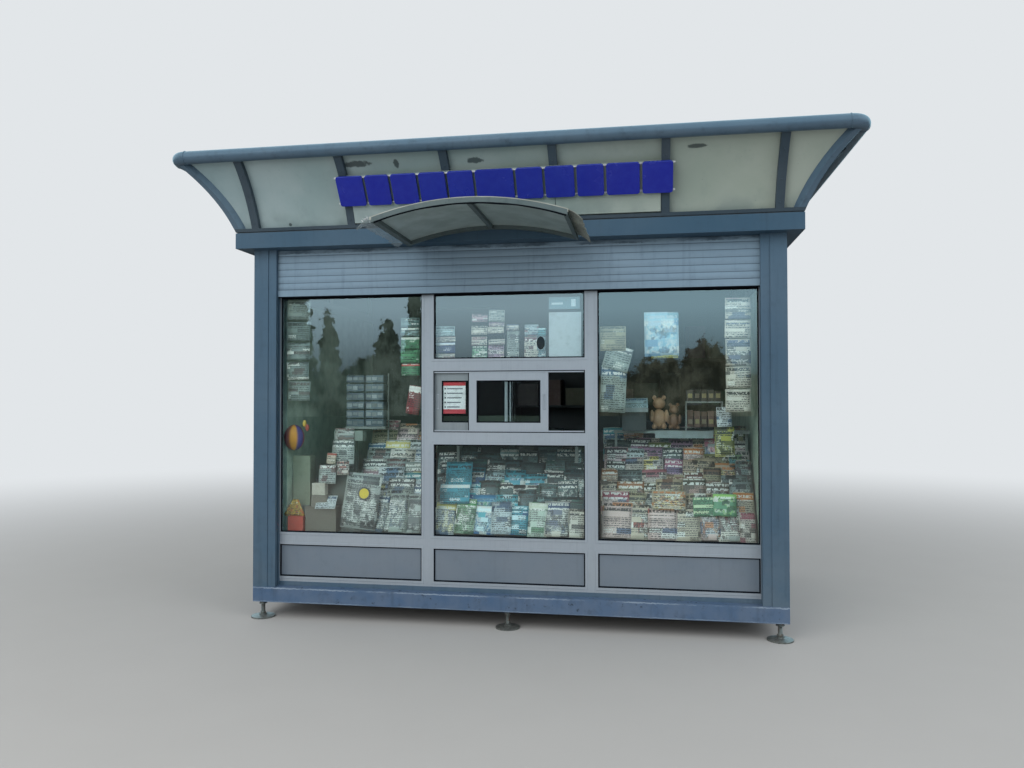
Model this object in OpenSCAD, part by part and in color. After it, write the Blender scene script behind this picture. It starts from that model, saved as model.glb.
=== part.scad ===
// Street kiosk: a glazed steel hut on levelling feet, with a half lowered roller shutter,
// a sliding serving hatch under a small arched awning, and a flared canopy of opal panels
// that is mitred round all four sides of the roof.
// Millimetres. X runs along the front, Y from the front to the back, Z up from the ground.

/* [Body] */
// Width of the body over the corner posts
body_w = 3100; // [2500:50:3700]
// Depth of the body over the corner posts
body_d = 1900; // [1500:50:2500]
// Clear height under the base beams
ground_gap = 100; // [60:5:160]
// Height and depth of the base beams
base_beam = 90; // [70:5:100]
// Face width of a corner post on the front and the back
post_w = 90; // [70:5:100]
// How far a corner post reaches behind the window frames
post_lap = 5; // [2:1:20]
// Thickness of the floor panel
floor_t = 50; // [30:5:60]
// Thickness of the ceiling panel
ceiling_t = 30; // [18:1:60]

/* [Window frames] */
// Setback of the window frames behind the faces of the posts
setback = 65; // [55:1:80]
// Depth of the aluminium profiles
frame_t = 40; // [38:1:60]
// Face width of the mullions and transoms
bar_w = 70; // [50:1:90]
// Face width of the end stiles beside the posts
stile_w = 50; // [40:1:70]
// Height of the bottom rail
bottom_rail_h = 52; // [40:1:80]
// Height of the steel sill strip that covers the foot of the bottom rail
sill_h = 24; // [15:1:35]
// Thickness of the steel sill strip
sill_t = 4; // [2:1:6]
// Height of the kick panels
kick_h = 196; // [120:1:280]
// Thickness of the kick panels
kick_t = 20; // [10:1:30]
// Thickness of the glass
glass_t = 6; // [4:1:10]
// Height of the painted fascia panels at the top of the side walls
fascia_h = 210; // [120:5:300]

/* [Serving hatch] */
// Height of the hatch opening's sill above the ground
hatch_sill = 1120; // [1000:5:1250]
// Height of the hatch opening
hatch_h = 361; // [300:1:420]
// Height of the tracks above and below the sashes
track_h = 12; // [8:1:16]
// Face width of the sash bars
sash_bar = 45; // [30:1:60]
// Thickness of a sash
sash_t = 16; // [12:1:18]
// Running gap between the two sashes
sash_gap = 3; // [2:1:5]
// How far the two closed sashes would overlap
sash_overlap = 42; // [30:1:60]
// Width of the gap that the front sash leaves open
hatch_open = 212; // [0:1:300]

/* [Roller shutter] */
// How far the shutter hangs down below the cornice
shutter_drop = 280; // [160:10:600]
// Height of one slat
slat_pitch = 41; // [30:1:60]
// Thickness of a slat over its bulge
slat_t = 9; // [6:1:12]
// How far each slat bulges
slat_bulge = 3; // [2:1:5]
// Height of the plain end slat
end_slat_h = 40; // [30:1:80]
// Thickness of the end slat
end_slat_t = 14; // [10:1:16]
// Face width of a guide rail
guide_w = 50; // [40:1:60]
// Setback of the guide rails behind the posts
guide_inset = 5; // [2:1:10]
// How deep the slats run in the guide rails
guide_grip = 28; // [15:1:32]
// Height of the casing that holds the rolled curtain
shutter_box_h = 200; // [180:5:240]
// Depth of the casing that holds the rolled curtain
shutter_box_d = 200; // [180:5:240]
// Thickness of the casing's sheet
shutter_box_t = 3; // [2:1:5]
// Diameter of the rolled up part of the curtain
roll_dia = 140; // [100:5:160]
// Diameter of the roll's shaft
roll_shaft_dia = 40; // [30:1:60]

/* [Cornice and canopy] */
// Height of the cornice beams
cornice_h = 92; // [70:1:120]
// Overhang of the cornice beyond the posts
cornice_out = 80; // [50:1:120]
// Thickness of the roof sheet
deck_t = 6; // [3:1:12]
// Setback of the roof sheet's edge behind the cornice's face
deck_inset = 8; // [4:1:15]
// Height of the rail at the foot of the canopy
flare_sill_h = 18; // [12:1:40]
// Radius of the canopy's hollow curve
flare_r = 888; // [800:1:1000]
// Lean of the canopy at its foot, in degrees from upright
flare_foot_a = 20; // [16:1:24]
// Lean of the canopy at the rim tube, in degrees from upright
flare_head_a = 49.6; // [45:0.1:53]
// Width of a canopy rib
rib_w = 45; // [30:1:60]
// Thickness of a canopy rib
rib_t = 30; // [20:1:40]
// Spacing wanted between the ribs
rib_pitch = 600; // [400:10:900]
// Distance of the end ribs from the ends of the wall
rib_inset = 50; // [40:1:100]
// Thickness of the opal panels
panel_t = 6; // [4:1:10]
// Gap between neighbouring opal panels
panel_gap = 2; // [1:1:4]
// Diameter of the rim tube
rim_dia = 72; // [50:1:90]
// Centre line radius of the rim tube's corner bends
rim_bend_r = 75; // [60:1:120]

/* [Awning] */
// Width of the awning over the hatch
awning_w = 980; // [800:10:1300]
// Reach of the awning in front of the cornice
awning_reach = 640; // [400:10:800]
// Rise of the awning's arch
awning_rise = 80; // [50:1:140]
// Distance of the awning's middle from the middle of the front
awning_x = -65; // [-200:5:200]
// Gap between the top of the arch and the top of the cornice
awning_clear = 10; // [2:1:14]
// Height of the awning's frame bars
awning_bar_h = 24; // [16:1:32]
// Depth of the awning's frame bars
awning_bar_d = 22; // [16:1:32]
// Thickness of the awning's sheet
awning_sheet_t = 4; // [3:1:8]

/* [Levelling feet] */
// Diameter of a foot plate
foot_dia = 140; // [100:5:180]
// Thickness of a foot plate at its rim
foot_t = 8; // [5:1:12]
// Height of the dish and boss on a foot plate
foot_dish_h = 14; // [8:1:20]
// Diameter of the boss that takes the spindle
foot_boss_dia = 44; // [36:1:60]
// Diameter of a foot's spindle
spindle_dia = 22; // [16:1:30]
// Height of the nut under the base beam
nut_h = 16; // [12:1:20]

/* [Back wall] */
// Thickness of the back wall panels
back_wall_t = 40; // [30:1:60]
// Setback of the back wall behind the faces of the posts
back_inset = 25; // [10:1:40]
// Width of the door leaf
door_w = 720; // [600:10:900]
// Height of the door leaf
door_h = 1860; // [1700:10:2100]
// Height of the wall between the door's frame and the cornice, which sets the body's height
over_door_h = 119; // [80:1:300]
// Thickness of the door leaf
door_t = 44; // [36:1:50]
// Distance of the door leaf from the nearer corner post
door_side = 400; // [60:10:800]
// Width of the door frame's bars
door_frame_w = 40; // [30:1:60]
// Running gap round the door leaf
door_gap = 4; // [3:1:8]
// How far the door frame stands proud of the wall panels
door_lip = 5; // [2:1:8]
// Diameter of the hinge knuckles
hinge_dia = 20; // [14:1:26]
// Length of the hinges
hinge_len = 110; // [80:5:140]
// Distance of the outer hinges' middles from the ends of the leaf
hinge_end = 200; // [120:10:300]
// Height of the door's lever above the foot of the leaf
lever_z = 1036; // [900:2:1100]
// Length of the lever
lever_len = 130; // [100:5:150]
// Thickness of the lever
lever_t = 12; // [8:1:16]
// Distance of the lock from the edge of the leaf
lock_inset = 60; // [40:5:80]
// Width of the lock's plate
lock_plate_w = 40; // [30:1:50]
// Height of the lock's plate
lock_plate_h = 220; // [160:5:260]
// Thickness of the lock's plate
lock_plate_t = 8; // [4:1:10]
// Length of the neck that carries the lever
lever_neck = 42; // [30:1:60]

/* [Display stands] */
// Height of a stand's lowest tread above the ground
stand_first_z = 500; // [440:10:560]
// Rise of a stand's steps
stand_rise = 150; // [100:5:170]
// Depth of a stand's treads
stand_tread = 110; // [80:5:150]
// Number of treads on a stand
stand_steps = 3; // [2:1:3]
// Thickness of a stand's boards
stand_board = 12; // [8:1:18]
// Gap between a stand and the window frames in front of it
stand_front_gap = 15; // [5:1:40]
// Gap between a stand and the middle of the mullion on either side
stand_side_gap = 45; // [37:1:60]

/* [Hidden] */

// Clearance where a cut end seats on a round tube
seat_gap = 0.3;
// How far the two halves of a corner rib run into each other, so that they are one piece
weld = 0.4;
// Fineness of small and large round shapes
small_fn = 48;
large_fn = 360;

// Walls are numbered 0 front, 1 right, 2 back, 3 left
FRONT = 0;
RIGHT = 1;
BACK = 2;
LEFT = 3;

// Depth of a corner post
post_d = setback + frame_t + post_lap;

// Size of the hole that takes the door and its frame
door_hole_w = door_w + 2 * door_gap + 2 * door_frame_w;
door_hole_h = door_h + 2 * door_gap + door_frame_w;

// Height of the walls between the base beams and the cornice
wall_h = door_hole_h + over_door_h;

// Levels above the ground
z_base = ground_gap;
z_wall = z_base + base_beam;
z_kick = z_wall + bottom_rail_h;
z_kick_top = z_kick + kick_h;
z_glass = z_kick_top + bar_w;
z_hatch_top = hatch_sill + hatch_h;
z_cornice = z_wall + wall_h;
z_frame_top = z_cornice - shutter_box_h;
z_deck = z_cornice + cornice_h;
z_flare = z_deck + deck_t;
z_rib = z_flare + flare_sill_h;
z_shutter = z_cornice - shutter_drop;
z_fascia = z_cornice - fascia_h;

// Centre of the canopy's curve: distance outwards from the posts' faces, and level
flare_out = cornice_out + flare_r * cos(flare_foot_a);
flare_z = z_flare - flare_r * sin(flare_foot_a);

// Centre of the rim tube, on the middle of the ribs
rim_out = flare_out - (flare_r + rib_t / 2) * cos(flare_head_a);
rim_z = flare_z + (flare_r + rib_t / 2) * sin(flare_head_a);

// The body's front face lies so that the origin is the middle of the whole footprint
front_reach = max(cornice_out + awning_reach, rim_out + rim_dia / 2);
back_reach = rim_out + rim_dia / 2;
y_front = (front_reach - back_reach - body_d) / 2;
y_mid = y_front + body_d / 2;

// Clear widths between the posts, the bays of the windows and the places of the sashes
front_clear = body_w - 2 * post_w;
side_clear = body_d - 2 * post_d;
front_bay = (front_clear - 2 * stile_w - 2 * bar_w) / 3;
side_bay = (side_clear - 2 * stile_w - bar_w) / 2;
mullion_x = (front_bay + bar_w) / 2;
side_bay_x = (front_bay + bar_w);
sash_w = (front_bay + sash_overlap) / 2;
sash_h = hatch_h - 2 * track_h;
sash_right_x = front_bay / 2 - hatch_open - sash_w / 2;
sash_left_x = (sash_w - front_bay) / 2;
glass_y = setback + frame_t / 2;

// Radius of the awning's arch, from its width and rise
awning_r = (awning_w * awning_w / 4 + awning_rise * awning_rise) / (2 * awning_rise);
awning_z = z_deck - awning_clear - awning_bar_h - awning_rise;

function wall_len(w) = (w % 2 == 0) ? body_w : body_d;
function rib_count(len) = round((len - 2 * rib_inset) / rib_pitch) + 1;
function rib_at(len, i) = -len / 2 + rib_inset + i * (len - 2 * rib_inset) / (rib_count(len) - 1);

// Places what is drawn for one wall: X to the right and Y inwards, seen from outside
module on_wall(w) {
    translate([0, y_mid, 0])
        rotate([0, 0, 90 * w])
            translate([0, -((w % 2 == 0) ? body_d : body_w) / 2, 0])
                children();
}

// A box from its lowest corner
module block(x, y, z, dx, dy, dz) {
    translate([x, y, z])
        cube([dx, dy, dz]);
}

// A box centred on X
module bar(x, y, z, dx, dy, dz) {
    block(x - dx / 2, y, z, dx, dy, dz);
}

// Turns a section drawn as distance outwards and level into a length along the wall
module along_wall(len) {
    rotate([90, 0, -90])
        linear_extrude(height = len, center = true)
            children();
}

// Steel base
module base_beams_long() {
    color([0.32, 0.41, 0.50])
        for (w = [FRONT, BACK])
            on_wall(w)
                bar(0, 0, z_base, body_w, base_beam, base_beam);
}

module base_beams_side() {
    color([0.32, 0.41, 0.50])
        for (w = [RIGHT, LEFT])
            on_wall(w)
                bar(0, 0, z_base, body_d - 2 * base_beam, base_beam, base_beam);
}

module sill_strips() {
    color([0.34, 0.44, 0.54]) {
        on_wall(FRONT)
            bar(0, setback - sill_t, z_wall, front_clear - 2 * guide_w, sill_t, sill_h);
        for (w = [RIGHT, LEFT])
            on_wall(w)
                bar(0, setback - sill_t, z_wall, side_clear, sill_t, sill_h);
    }
}

module corner_posts() {
    color([0.31, 0.40, 0.49])
        for (w = [FRONT, BACK], s = [-1, 1])
            on_wall(w)
                bar(s * (body_w - post_w) / 2, 0, z_wall, post_w, post_d, wall_h);
}

// Levelling feet, under the ends and the middle of the long beams
module at_feet() {
    for (w = [FRONT, BACK], s = [-1, 0, 1])
        on_wall(w)
            translate([s * (body_w - base_beam) / 2, base_beam / 2, 0])
                children();
}

module foot_plates() {
    color([0.55, 0.55, 0.53])
        at_feet()
            rotate_extrude($fn = 96)
                polygon([[0, 0], [foot_dia / 2, 0], [foot_dia / 2, foot_t],
                    [foot_boss_dia / 2, foot_dish_h], [foot_boss_dia / 2, foot_t + foot_dish_h],
                    [0, foot_t + foot_dish_h]]);
}

module foot_spindles() {
    color([0.50, 0.50, 0.50])
        at_feet() {
            translate([0, 0, foot_t + foot_dish_h])
                cylinder(d = spindle_dia, h = ground_gap - foot_t - foot_dish_h, $fn = small_fn);
            translate([0, 0, ground_gap - nut_h])
                cylinder(d = 2 * spindle_dia / cos(30) * 0.9, h = nut_h, $fn = 6);
        }
}

// Floor and ceiling
module floor_panel() {
    color([0.35, 0.33, 0.30])
        translate([0, y_mid, z_wall - floor_t / 2])
            cube([body_w - 2 * base_beam, body_d - 2 * base_beam, floor_t], center = true);
}

module ceiling_panel() {
    color([0.75, 0.76, 0.76])
        translate([0, y_mid, z_cornice + ceiling_t / 2])
            cube([body_w - 2 * post_d, body_d - 2 * post_d, ceiling_t], center = true);
}

// Front window frames
module front_stiles() {
    color([0.58, 0.61, 0.66])
        on_wall(FRONT) {
            for (s = [-1, 1]) {
                bar(s * (front_clear - stile_w) / 2, setback, z_wall,
                    stile_w, frame_t, z_frame_top - z_wall);
                bar(s * mullion_x, setback, z_wall, bar_w, frame_t, z_frame_top - z_wall);
            }
        }
}

// One crossbar in each bay of the front
module front_crossbar(z, h) {
    for (s = [-1, 0, 1])
        bar(s * side_bay_x, setback, z, front_bay, frame_t, h);
}

module front_rails() {
    color([0.58, 0.61, 0.66])
        on_wall(FRONT) {
            front_crossbar(z_wall, bottom_rail_h);
            front_crossbar(z_kick_top, bar_w);
            front_crossbar(z_frame_top - bar_w, bar_w);
            bar(0, setback, hatch_sill - bar_w, front_bay, frame_t, bar_w);
            bar(0, setback, z_hatch_top, front_bay, frame_t, bar_w);
        }
}

// A pane of glass in the front, in bay s, between two levels
module front_pane(s, z_low, z_high) {
    color([0.70, 0.80, 0.82, 0.35])
        on_wall(FRONT)
            bar(s * side_bay_x, glass_y - glass_t / 2, z_low, front_bay, glass_t, z_high - z_low);
}

module glass_front() {
    z_head = z_frame_top - bar_w;
    front_pane(-1, z_glass, z_head);
    front_pane(0, z_glass, hatch_sill - bar_w);
    front_pane(0, z_hatch_top + bar_w, z_head);
    front_pane(1, z_glass, z_head);
}

module kick_panels_front() {
    color([0.45, 0.50, 0.55])
        on_wall(FRONT)
            for (s = [-1, 0, 1])
                bar(s * side_bay_x, glass_y - kick_t / 2, z_kick, front_bay, kick_t, kick_h);
}

// Serving hatch: two sashes that slide past each other between two tracks
module hatch_tracks() {
    color([0.62, 0.64, 0.68])
        on_wall(FRONT)
            for (z = [hatch_sill, z_hatch_top - track_h])
                bar(0, setback, z, front_bay, frame_t, track_h);
}

module at_sash(x, layer) {
    sash_y = setback + (frame_t - 2 * sash_t - sash_gap) / 2 + layer * (sash_t + sash_gap);
    on_wall(FRONT)
        translate([x, sash_y, hatch_sill + track_h])
            children();
}

module sash_frame() {
    difference() {
        bar(0, 0, 0, sash_w, sash_t, sash_h);
        bar(0, -1, sash_bar, sash_w - 2 * sash_bar, sash_t + 2, sash_h - 2 * sash_bar);
    }
}

module hatch_sash_left() {
    color([0.60, 0.62, 0.67])
        at_sash(sash_left_x, 1)
            sash_frame();
}

module hatch_sash_right() {
    color([0.60, 0.62, 0.67])
        at_sash(sash_right_x, 0)
            sash_frame();
}

module hatch_glass() {
    color([0.70, 0.80, 0.82, 0.35])
        for (place = [[sash_left_x, 1], [sash_right_x, 0]])
            at_sash(place[0], place[1])
                bar(0, sash_t / 2 - 2, sash_bar, sash_w - 2 * sash_bar, 4, sash_h - 2 * sash_bar);
}

// Roller shutter
module shutter_guides() {
    guide_d = setback - guide_inset;
    slot = end_slat_t + 2 * seat_gap;
    color([0.33, 0.42, 0.51])
        on_wall(FRONT)
            for (s = [0, 1])
                mirror([s, 0, 0])
                    translate([front_clear / 2 - guide_w, guide_inset, z_wall])
                        linear_extrude(height = wall_h)
                            difference() {
                                square([guide_w, guide_d]);
                                translate([-1, (guide_d - slot) / 2])
                                    square([guide_grip + 3, slot]);
                            }
}

curtain_y = (setback + guide_inset) / 2;
curtain_w = front_clear - 2 * guide_w + 2 * guide_grip;

// Outline of one slat's face: a shallow bulge between two grooves
function slat_points(i) = [for (k = [0:6]) [slat_bulge * sin(30 * k), (i + 0.06 + 0.88 * k / 6) * slat_pitch]];

module shutter_curtain() {
    visible = shutter_drop - end_slat_h;
    count = ceil(visible / slat_pitch);
    face = [for (i = [0:count - 1]) each slat_points(i)];
    color([0.50, 0.58, 0.64])
        on_wall(FRONT)
            translate([0, curtain_y, z_shutter + end_slat_h])
                intersection() {
                    along_wall(curtain_w)
                        polygon(concat([[slat_bulge - slat_t, 0]], face,
                            [[slat_bulge - slat_t, count * slat_pitch]]));
                    bar(0, -slat_t, 0, curtain_w, 2 * slat_t, visible - 1);
                }
}

module shutter_end_slat() {
    color([0.56, 0.61, 0.66])
        on_wall(FRONT)
            bar(0, curtain_y - end_slat_t / 2, z_shutter, curtain_w, end_slat_t, end_slat_h);
}

// The casing ends at the inner faces of the side windows' frames
shutter_box_w = body_w - 2 * post_d;

module shutter_box() {
    color([0.60, 0.62, 0.65])
        on_wall(FRONT)
            difference() {
                bar(0, setback, z_frame_top, shutter_box_w, shutter_box_d, shutter_box_h);
                bar(0, setback - 1, z_frame_top + shutter_box_t, shutter_box_w - 2 * shutter_box_t,
                    shutter_box_d - shutter_box_t + 1, shutter_box_h - 2 * shutter_box_t);
            }
}

// The rolled up part of the curtain lies against its hanging part, on a shaft between the casing's ends
module shutter_roll() {
    roll_y = curtain_y + slat_t - slat_bulge + seat_gap + roll_dia / 2;
    roll_len = front_clear - 2 * guide_w - 2 * guide_inset;
    shaft_len = shutter_box_w - 2 * shutter_box_t;
    color([0.55, 0.59, 0.63])
        on_wall(FRONT)
            translate([0, roll_y, z_frame_top + shutter_box_h / 2])
                rotate([0, 90, 0]) {
                    cylinder(d = roll_dia, h = roll_len, center = true, $fn = 72);
                    cylinder(d = roll_shaft_dia, h = shaft_len, center = true, $fn = small_fn);
                }
}

// Side walls: two bays each, with a painted fascia panel above the glass
module on_sides() {
    for (w = [RIGHT, LEFT])
        on_wall(w)
            children();
}

module side_stiles() {
    color([0.58, 0.61, 0.66])
        on_sides() {
            for (s = [-1, 1])
                bar(s * (side_clear - stile_w) / 2, setback, z_wall, stile_w, frame_t, wall_h);
            bar(0, setback, z_wall, bar_w, frame_t, wall_h);
        }
}

// What fills both bays of a side wall between two levels
module side_infill(z_low, z_high, y, t) {
    for (s = [-1, 1])
        bar(s * (side_bay + bar_w) / 2, y, z_low, side_bay, t, z_high - z_low);
}

module side_rails() {
    color([0.58, 0.61, 0.66])
        on_sides() {
            side_infill(z_wall, z_kick, setback, frame_t);
            side_infill(z_kick_top, z_glass, setback, frame_t);
            side_infill(z_fascia - bar_w, z_fascia, setback, frame_t);
        }
}

module glass_side() {
    color([0.70, 0.80, 0.82, 0.35])
        on_sides()
            side_infill(z_glass, z_fascia - bar_w, glass_y - glass_t / 2, glass_t);
}

module kick_panels_side() {
    color([0.45, 0.50, 0.55])
        on_sides()
            side_infill(z_kick, z_kick_top, glass_y - kick_t / 2, kick_t);
}

module fascia_panels_side() {
    color([0.45, 0.50, 0.55])
        on_sides()
            side_infill(z_fascia, z_cornice, glass_y - kick_t / 2, kick_t);
}

// Back wall with a closed door
door_x = front_clear / 2 - door_side - door_w / 2;
door_face = back_inset - door_lip;

module back_wall_beside_door() {
    left_w = front_clear / 2 + door_x - door_hole_w / 2;
    right_w = front_clear / 2 - door_x - door_hole_w / 2;
    color([0.45, 0.50, 0.55])
        on_wall(BACK) {
            block(-front_clear / 2, back_inset, z_wall, left_w, back_wall_t, wall_h);
            block(front_clear / 2 - right_w, back_inset, z_wall, right_w, back_wall_t, wall_h);
        }
}

module back_wall_over_door() {
    color([0.45, 0.50, 0.55])
        on_wall(BACK)
            bar(door_x, back_inset, z_wall + door_hole_h, door_hole_w, back_wall_t, over_door_h);
}

module door_frame() {
    color([0.33, 0.42, 0.51])
        on_wall(BACK)
            difference() {
                bar(door_x, door_face, z_wall, door_hole_w, back_wall_t + 2 * door_lip, door_hole_h);
                bar(door_x, door_face - 1, z_wall - 1, door_hole_w - 2 * door_frame_w,
                    back_wall_t + 2 * door_lip + 2, door_hole_h - door_frame_w + 1);
            }
}

module back_door() {
    color([0.34, 0.43, 0.52])
        on_wall(BACK)
            bar(door_x, door_face, z_wall + door_gap, door_w, door_t, door_h);
}

module door_furniture() {
    hinge_x = door_x + door_w / 2 + door_gap / 2;
    lock_x = door_x - door_w / 2 + lock_inset;
    plate_y = door_face - lock_plate_t;
    leaf_z = z_wall + door_gap;
    neck_dia = 1.5 * lever_t;
    color([0.50, 0.50, 0.52])
        on_wall(BACK) {
            for (z = [hinge_end, door_h / 2, door_h - hinge_end])
                translate([hinge_x, door_face - hinge_dia / 2 - seat_gap, leaf_z + z])
                    cylinder(d = hinge_dia, h = hinge_len, center = true, $fn = small_fn);
            bar(lock_x, plate_y, leaf_z + lever_z - 2 * lock_plate_h / 3, lock_plate_w, lock_plate_t,
                lock_plate_h);
            translate([lock_x, plate_y, leaf_z + lever_z])
                rotate([90, 0, 0])
                    cylinder(d = neck_dia, h = lever_neck, $fn = small_fn);
            block(lock_x - neck_dia / 2, plate_y - lever_neck - lever_t, leaf_z + lever_z - neck_dia / 2,
                lever_len, lever_t, neck_dia);
        }
}

// Cornice and roof sheet
module cornice_long() {
    color([0.32, 0.41, 0.50])
        for (w = [FRONT, BACK])
            on_wall(w)
                bar(0, -cornice_out, z_cornice, body_w + 2 * cornice_out, cornice_out + post_d,
                    cornice_h);
}

module cornice_side() {
    color([0.32, 0.41, 0.50])
        for (w = [RIGHT, LEFT])
            on_wall(w)
                bar(0, -cornice_out, z_cornice, body_d - 2 * post_d, cornice_out + post_d, cornice_h);
}

module roof_deck() {
    edge = 2 * (cornice_out - deck_inset);
    color([0.20, 0.22, 0.24])
        translate([0, y_mid, z_deck + deck_t / 2])
            cube([body_w + edge, body_d + edge, deck_t], center = true);
}

// Canopy: sections are drawn as distance outwards from the posts and level above the ground

// The hollow curve between two radii, from one level up to the middle of the rim tube
module flare_section(r_low, r_high, z_low, z_high) {
    intersection() {
        difference() {
            translate([flare_out, flare_z])
                circle(r = r_high, $fn = large_fn);
            translate([flare_out, flare_z])
                circle(r = r_low, $fn = large_fn);
        }
        translate([0, z_low])
            square([rim_out, z_high - z_low]);
    }
}

// Plan of one side of the canopy, mitred at both ends, with a small gap in the joint
module mitre_plan(len, z_low, z_high) {
    reach = rim_out + rim_dia;
    half = (len - panel_gap) / 2;
    translate([0, 0, z_low])
        linear_extrude(height = z_high - z_low)
            polygon([[-half, 0], [half, 0], [half + reach, -reach], [-half - reach, -reach]]);
}

// The plan inside the rim tube's centre line, with its rounded corners
module rim_plan() {
    w = body_w + 2 * rim_out;
    d = body_d + 2 * rim_out;
    translate([0, y_mid, z_flare])
        linear_extrude(height = rim_z + rim_dia - z_flare) {
            square([w - 2 * rim_bend_r, d], center = true);
            square([w, d - 2 * rim_bend_r], center = true);
            for (sx = [-1, 1], sy = [-1, 1])
                translate([sx * (w / 2 - rim_bend_r), sy * (d / 2 - rim_bend_r)])
                    circle(r = rim_bend_r, $fn = 96);
        }
}

// Straight tubes of the rim, grown by a clearance
module rim_straights(walls, grow) {
    for (w = walls)
        on_wall(w)
            translate([0, -rim_out, rim_z])
                rotate([0, 90, 0])
                    cylinder(d = rim_dia + 2 * grow, h = wall_len(w) + 2 * (rim_out - rim_bend_r),
                        center = true, $fn = 72);
}

// Corner bends of the rim, grown by a clearance
module rim_corners(grow) {
    w = body_w + 2 * (rim_out - rim_bend_r);
    d = body_d + 2 * (rim_out - rim_bend_r);
    for (q = [0:3])
        translate([0, y_mid, rim_z])
            rotate([0, 0, 90 * q])
                translate([((q % 2 == 0) ? w : d) / 2, ((q % 2 == 0) ? d : w) / 2, 0])
                    rotate_extrude(angle = 90, $fn = 72)
                        translate([rim_bend_r, 0])
                            circle(d = rim_dia + 2 * grow, $fn = 72);
}

module rim_tubes() {
    color([0.36, 0.45, 0.54])
        rim_straights([FRONT, RIGHT, BACK, LEFT], 0);
}

module rim_bends() {
    color([0.36, 0.45, 0.54])
        rim_corners(0);
}

module flare_sills() {
    color([0.30, 0.39, 0.47])
        for (w = [FRONT, RIGHT, BACK, LEFT])
            on_wall(w)
                intersection() {
                    along_wall(wall_len(w) + 2 * rim_out)
                        flare_section(flare_r, flare_r + rib_t + panel_t, z_flare, z_rib);
                    mitre_plan(wall_len(w), z_flare - 1, z_rib + 1);
                }
}

// The ribs of one wall, cut to seat on the rim tube
module wall_ribs(w) {
    len = wall_len(w);
    difference() {
        on_wall(w)
            for (i = [0:rib_count(len) - 1])
                translate([rib_at(len, i), 0, 0])
                    along_wall(rib_w)
                        flare_section(flare_r, flare_r + rib_t, z_rib, rim_z);
        rim_straights([w], seat_gap);
    }
}

module flare_ribs() {
    color([0.31, 0.40, 0.49])
        for (w = [FRONT, RIGHT, BACK, LEFT])
            wall_ribs(w);
}

// A band of the canopy's curve along one wall, mitred at both ends
module flare_band(w, r_low, r_high) {
    on_wall(w)
        intersection() {
            along_wall(wall_len(w) + 2 * rim_out)
                flare_section(r_low, r_high, z_rib, rim_z);
            mitre_plan(wall_len(w) + panel_gap + weld, z_rib - 1, rim_z + rim_dia);
        }
}

// Corner ribs: both neighbouring curves, kept within a narrow strip along the mitre
module hip_ribs() {
    reach = 3 * rim_out;
    high = rim_z + rim_dia - z_flare;
    color([0.31, 0.40, 0.49])
        for (sx = [-1, 1], back = [0, 1])
            difference() {
                intersection() {
                    union() {
                        flare_band(back ? BACK : FRONT, flare_r, flare_r + rib_t);
                        flare_band(sx > 0 ? RIGHT : LEFT, flare_r, flare_r + rib_t);
                    }
                    translate([sx * body_w / 2, y_front + back * body_d, z_flare])
                        rotate([0, 0, back ? 45 * sx : -45 * sx])
                            translate([sx * reach / 4, 0, high / 2])
                                cube([reach, rib_w, high], center = true);
                    rim_plan();
                }
                rim_corners(seat_gap);
                rim_straights([FRONT, RIGHT, BACK, LEFT], seat_gap);
            }
}

// The opal panels of one wall, parted on each rib
module wall_panels(w) {
    len = wall_len(w);
    difference() {
        intersection() {
            on_wall(w)
                intersection() {
                    along_wall(len + 2 * rim_out)
                        flare_section(flare_r + rib_t, flare_r + rib_t + panel_t, z_rib, rim_z);
                    mitre_plan(len, z_rib - 1, rim_z + rim_dia);
                }
            rim_plan();
        }
        on_wall(w)
            for (i = [0:rib_count(len) - 1])
                bar(rib_at(len, i), -2 * rim_out, z_flare, panel_gap, 3 * rim_out, 2 * rim_out);
        rim_straights([w], seat_gap);
        rim_corners(seat_gap);
    }
}

module flare_panels_long() {
    color([0.72, 0.77, 0.76])
        for (w = [FRONT, BACK])
            wall_panels(w);
}

module flare_panels_side() {
    color([0.72, 0.77, 0.76])
        for (w = [RIGHT, LEFT])
            wall_panels(w);
}

// Awning: a shallow barrel between two arched bars, carried by three level ribs

// Section of the barrel between two heights above its inner arch
module awning_arch(low, high) {
    intersection() {
        difference() {
            translate([0, awning_rise - awning_r])
                circle(r = awning_r + high, $fn = large_fn);
            translate([0, awning_rise - awning_r])
                circle(r = awning_r + low, $fn = large_fn);
        }
        translate([-awning_w / 2, 0])
            square([awning_w, awning_rise + high + 1]);
    }
}

// Draws a section of the awning with its front face some way out from the cornice
module at_awning(out, depth) {
    on_wall(FRONT)
        translate([awning_x, -cornice_out - out, awning_z])
            rotate([90, 0, 0])
                mirror([0, 0, 1])
                    linear_extrude(height = depth)
                        children();
}

module awning_arches() {
    color([0.67, 0.67, 0.63])
        for (out = [awning_bar_d, awning_reach])
            at_awning(out, awning_bar_d)
                awning_arch(0, awning_bar_h);
}

awning_rib_len = awning_reach - 2 * awning_bar_d;

module awning_ribs() {
    side_x = (awning_w - awning_bar_d) / 2;
    color([0.67, 0.67, 0.63])
        at_awning(awning_reach - awning_bar_d, awning_rib_len)
            intersection() {
                awning_arch(0, awning_bar_h - awning_sheet_t);
                for (x = [-side_x, 0, side_x])
                    translate([x - awning_bar_d / 2, 0])
                        square([awning_bar_d, 2 * awning_rise]);
            }
}

module awning_sheet() {
    color([0.45, 0.49, 0.48])
        at_awning(awning_reach - awning_bar_d, awning_rib_len)
            awning_arch(awning_bar_h - awning_sheet_t, awning_bar_h);
}

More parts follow.
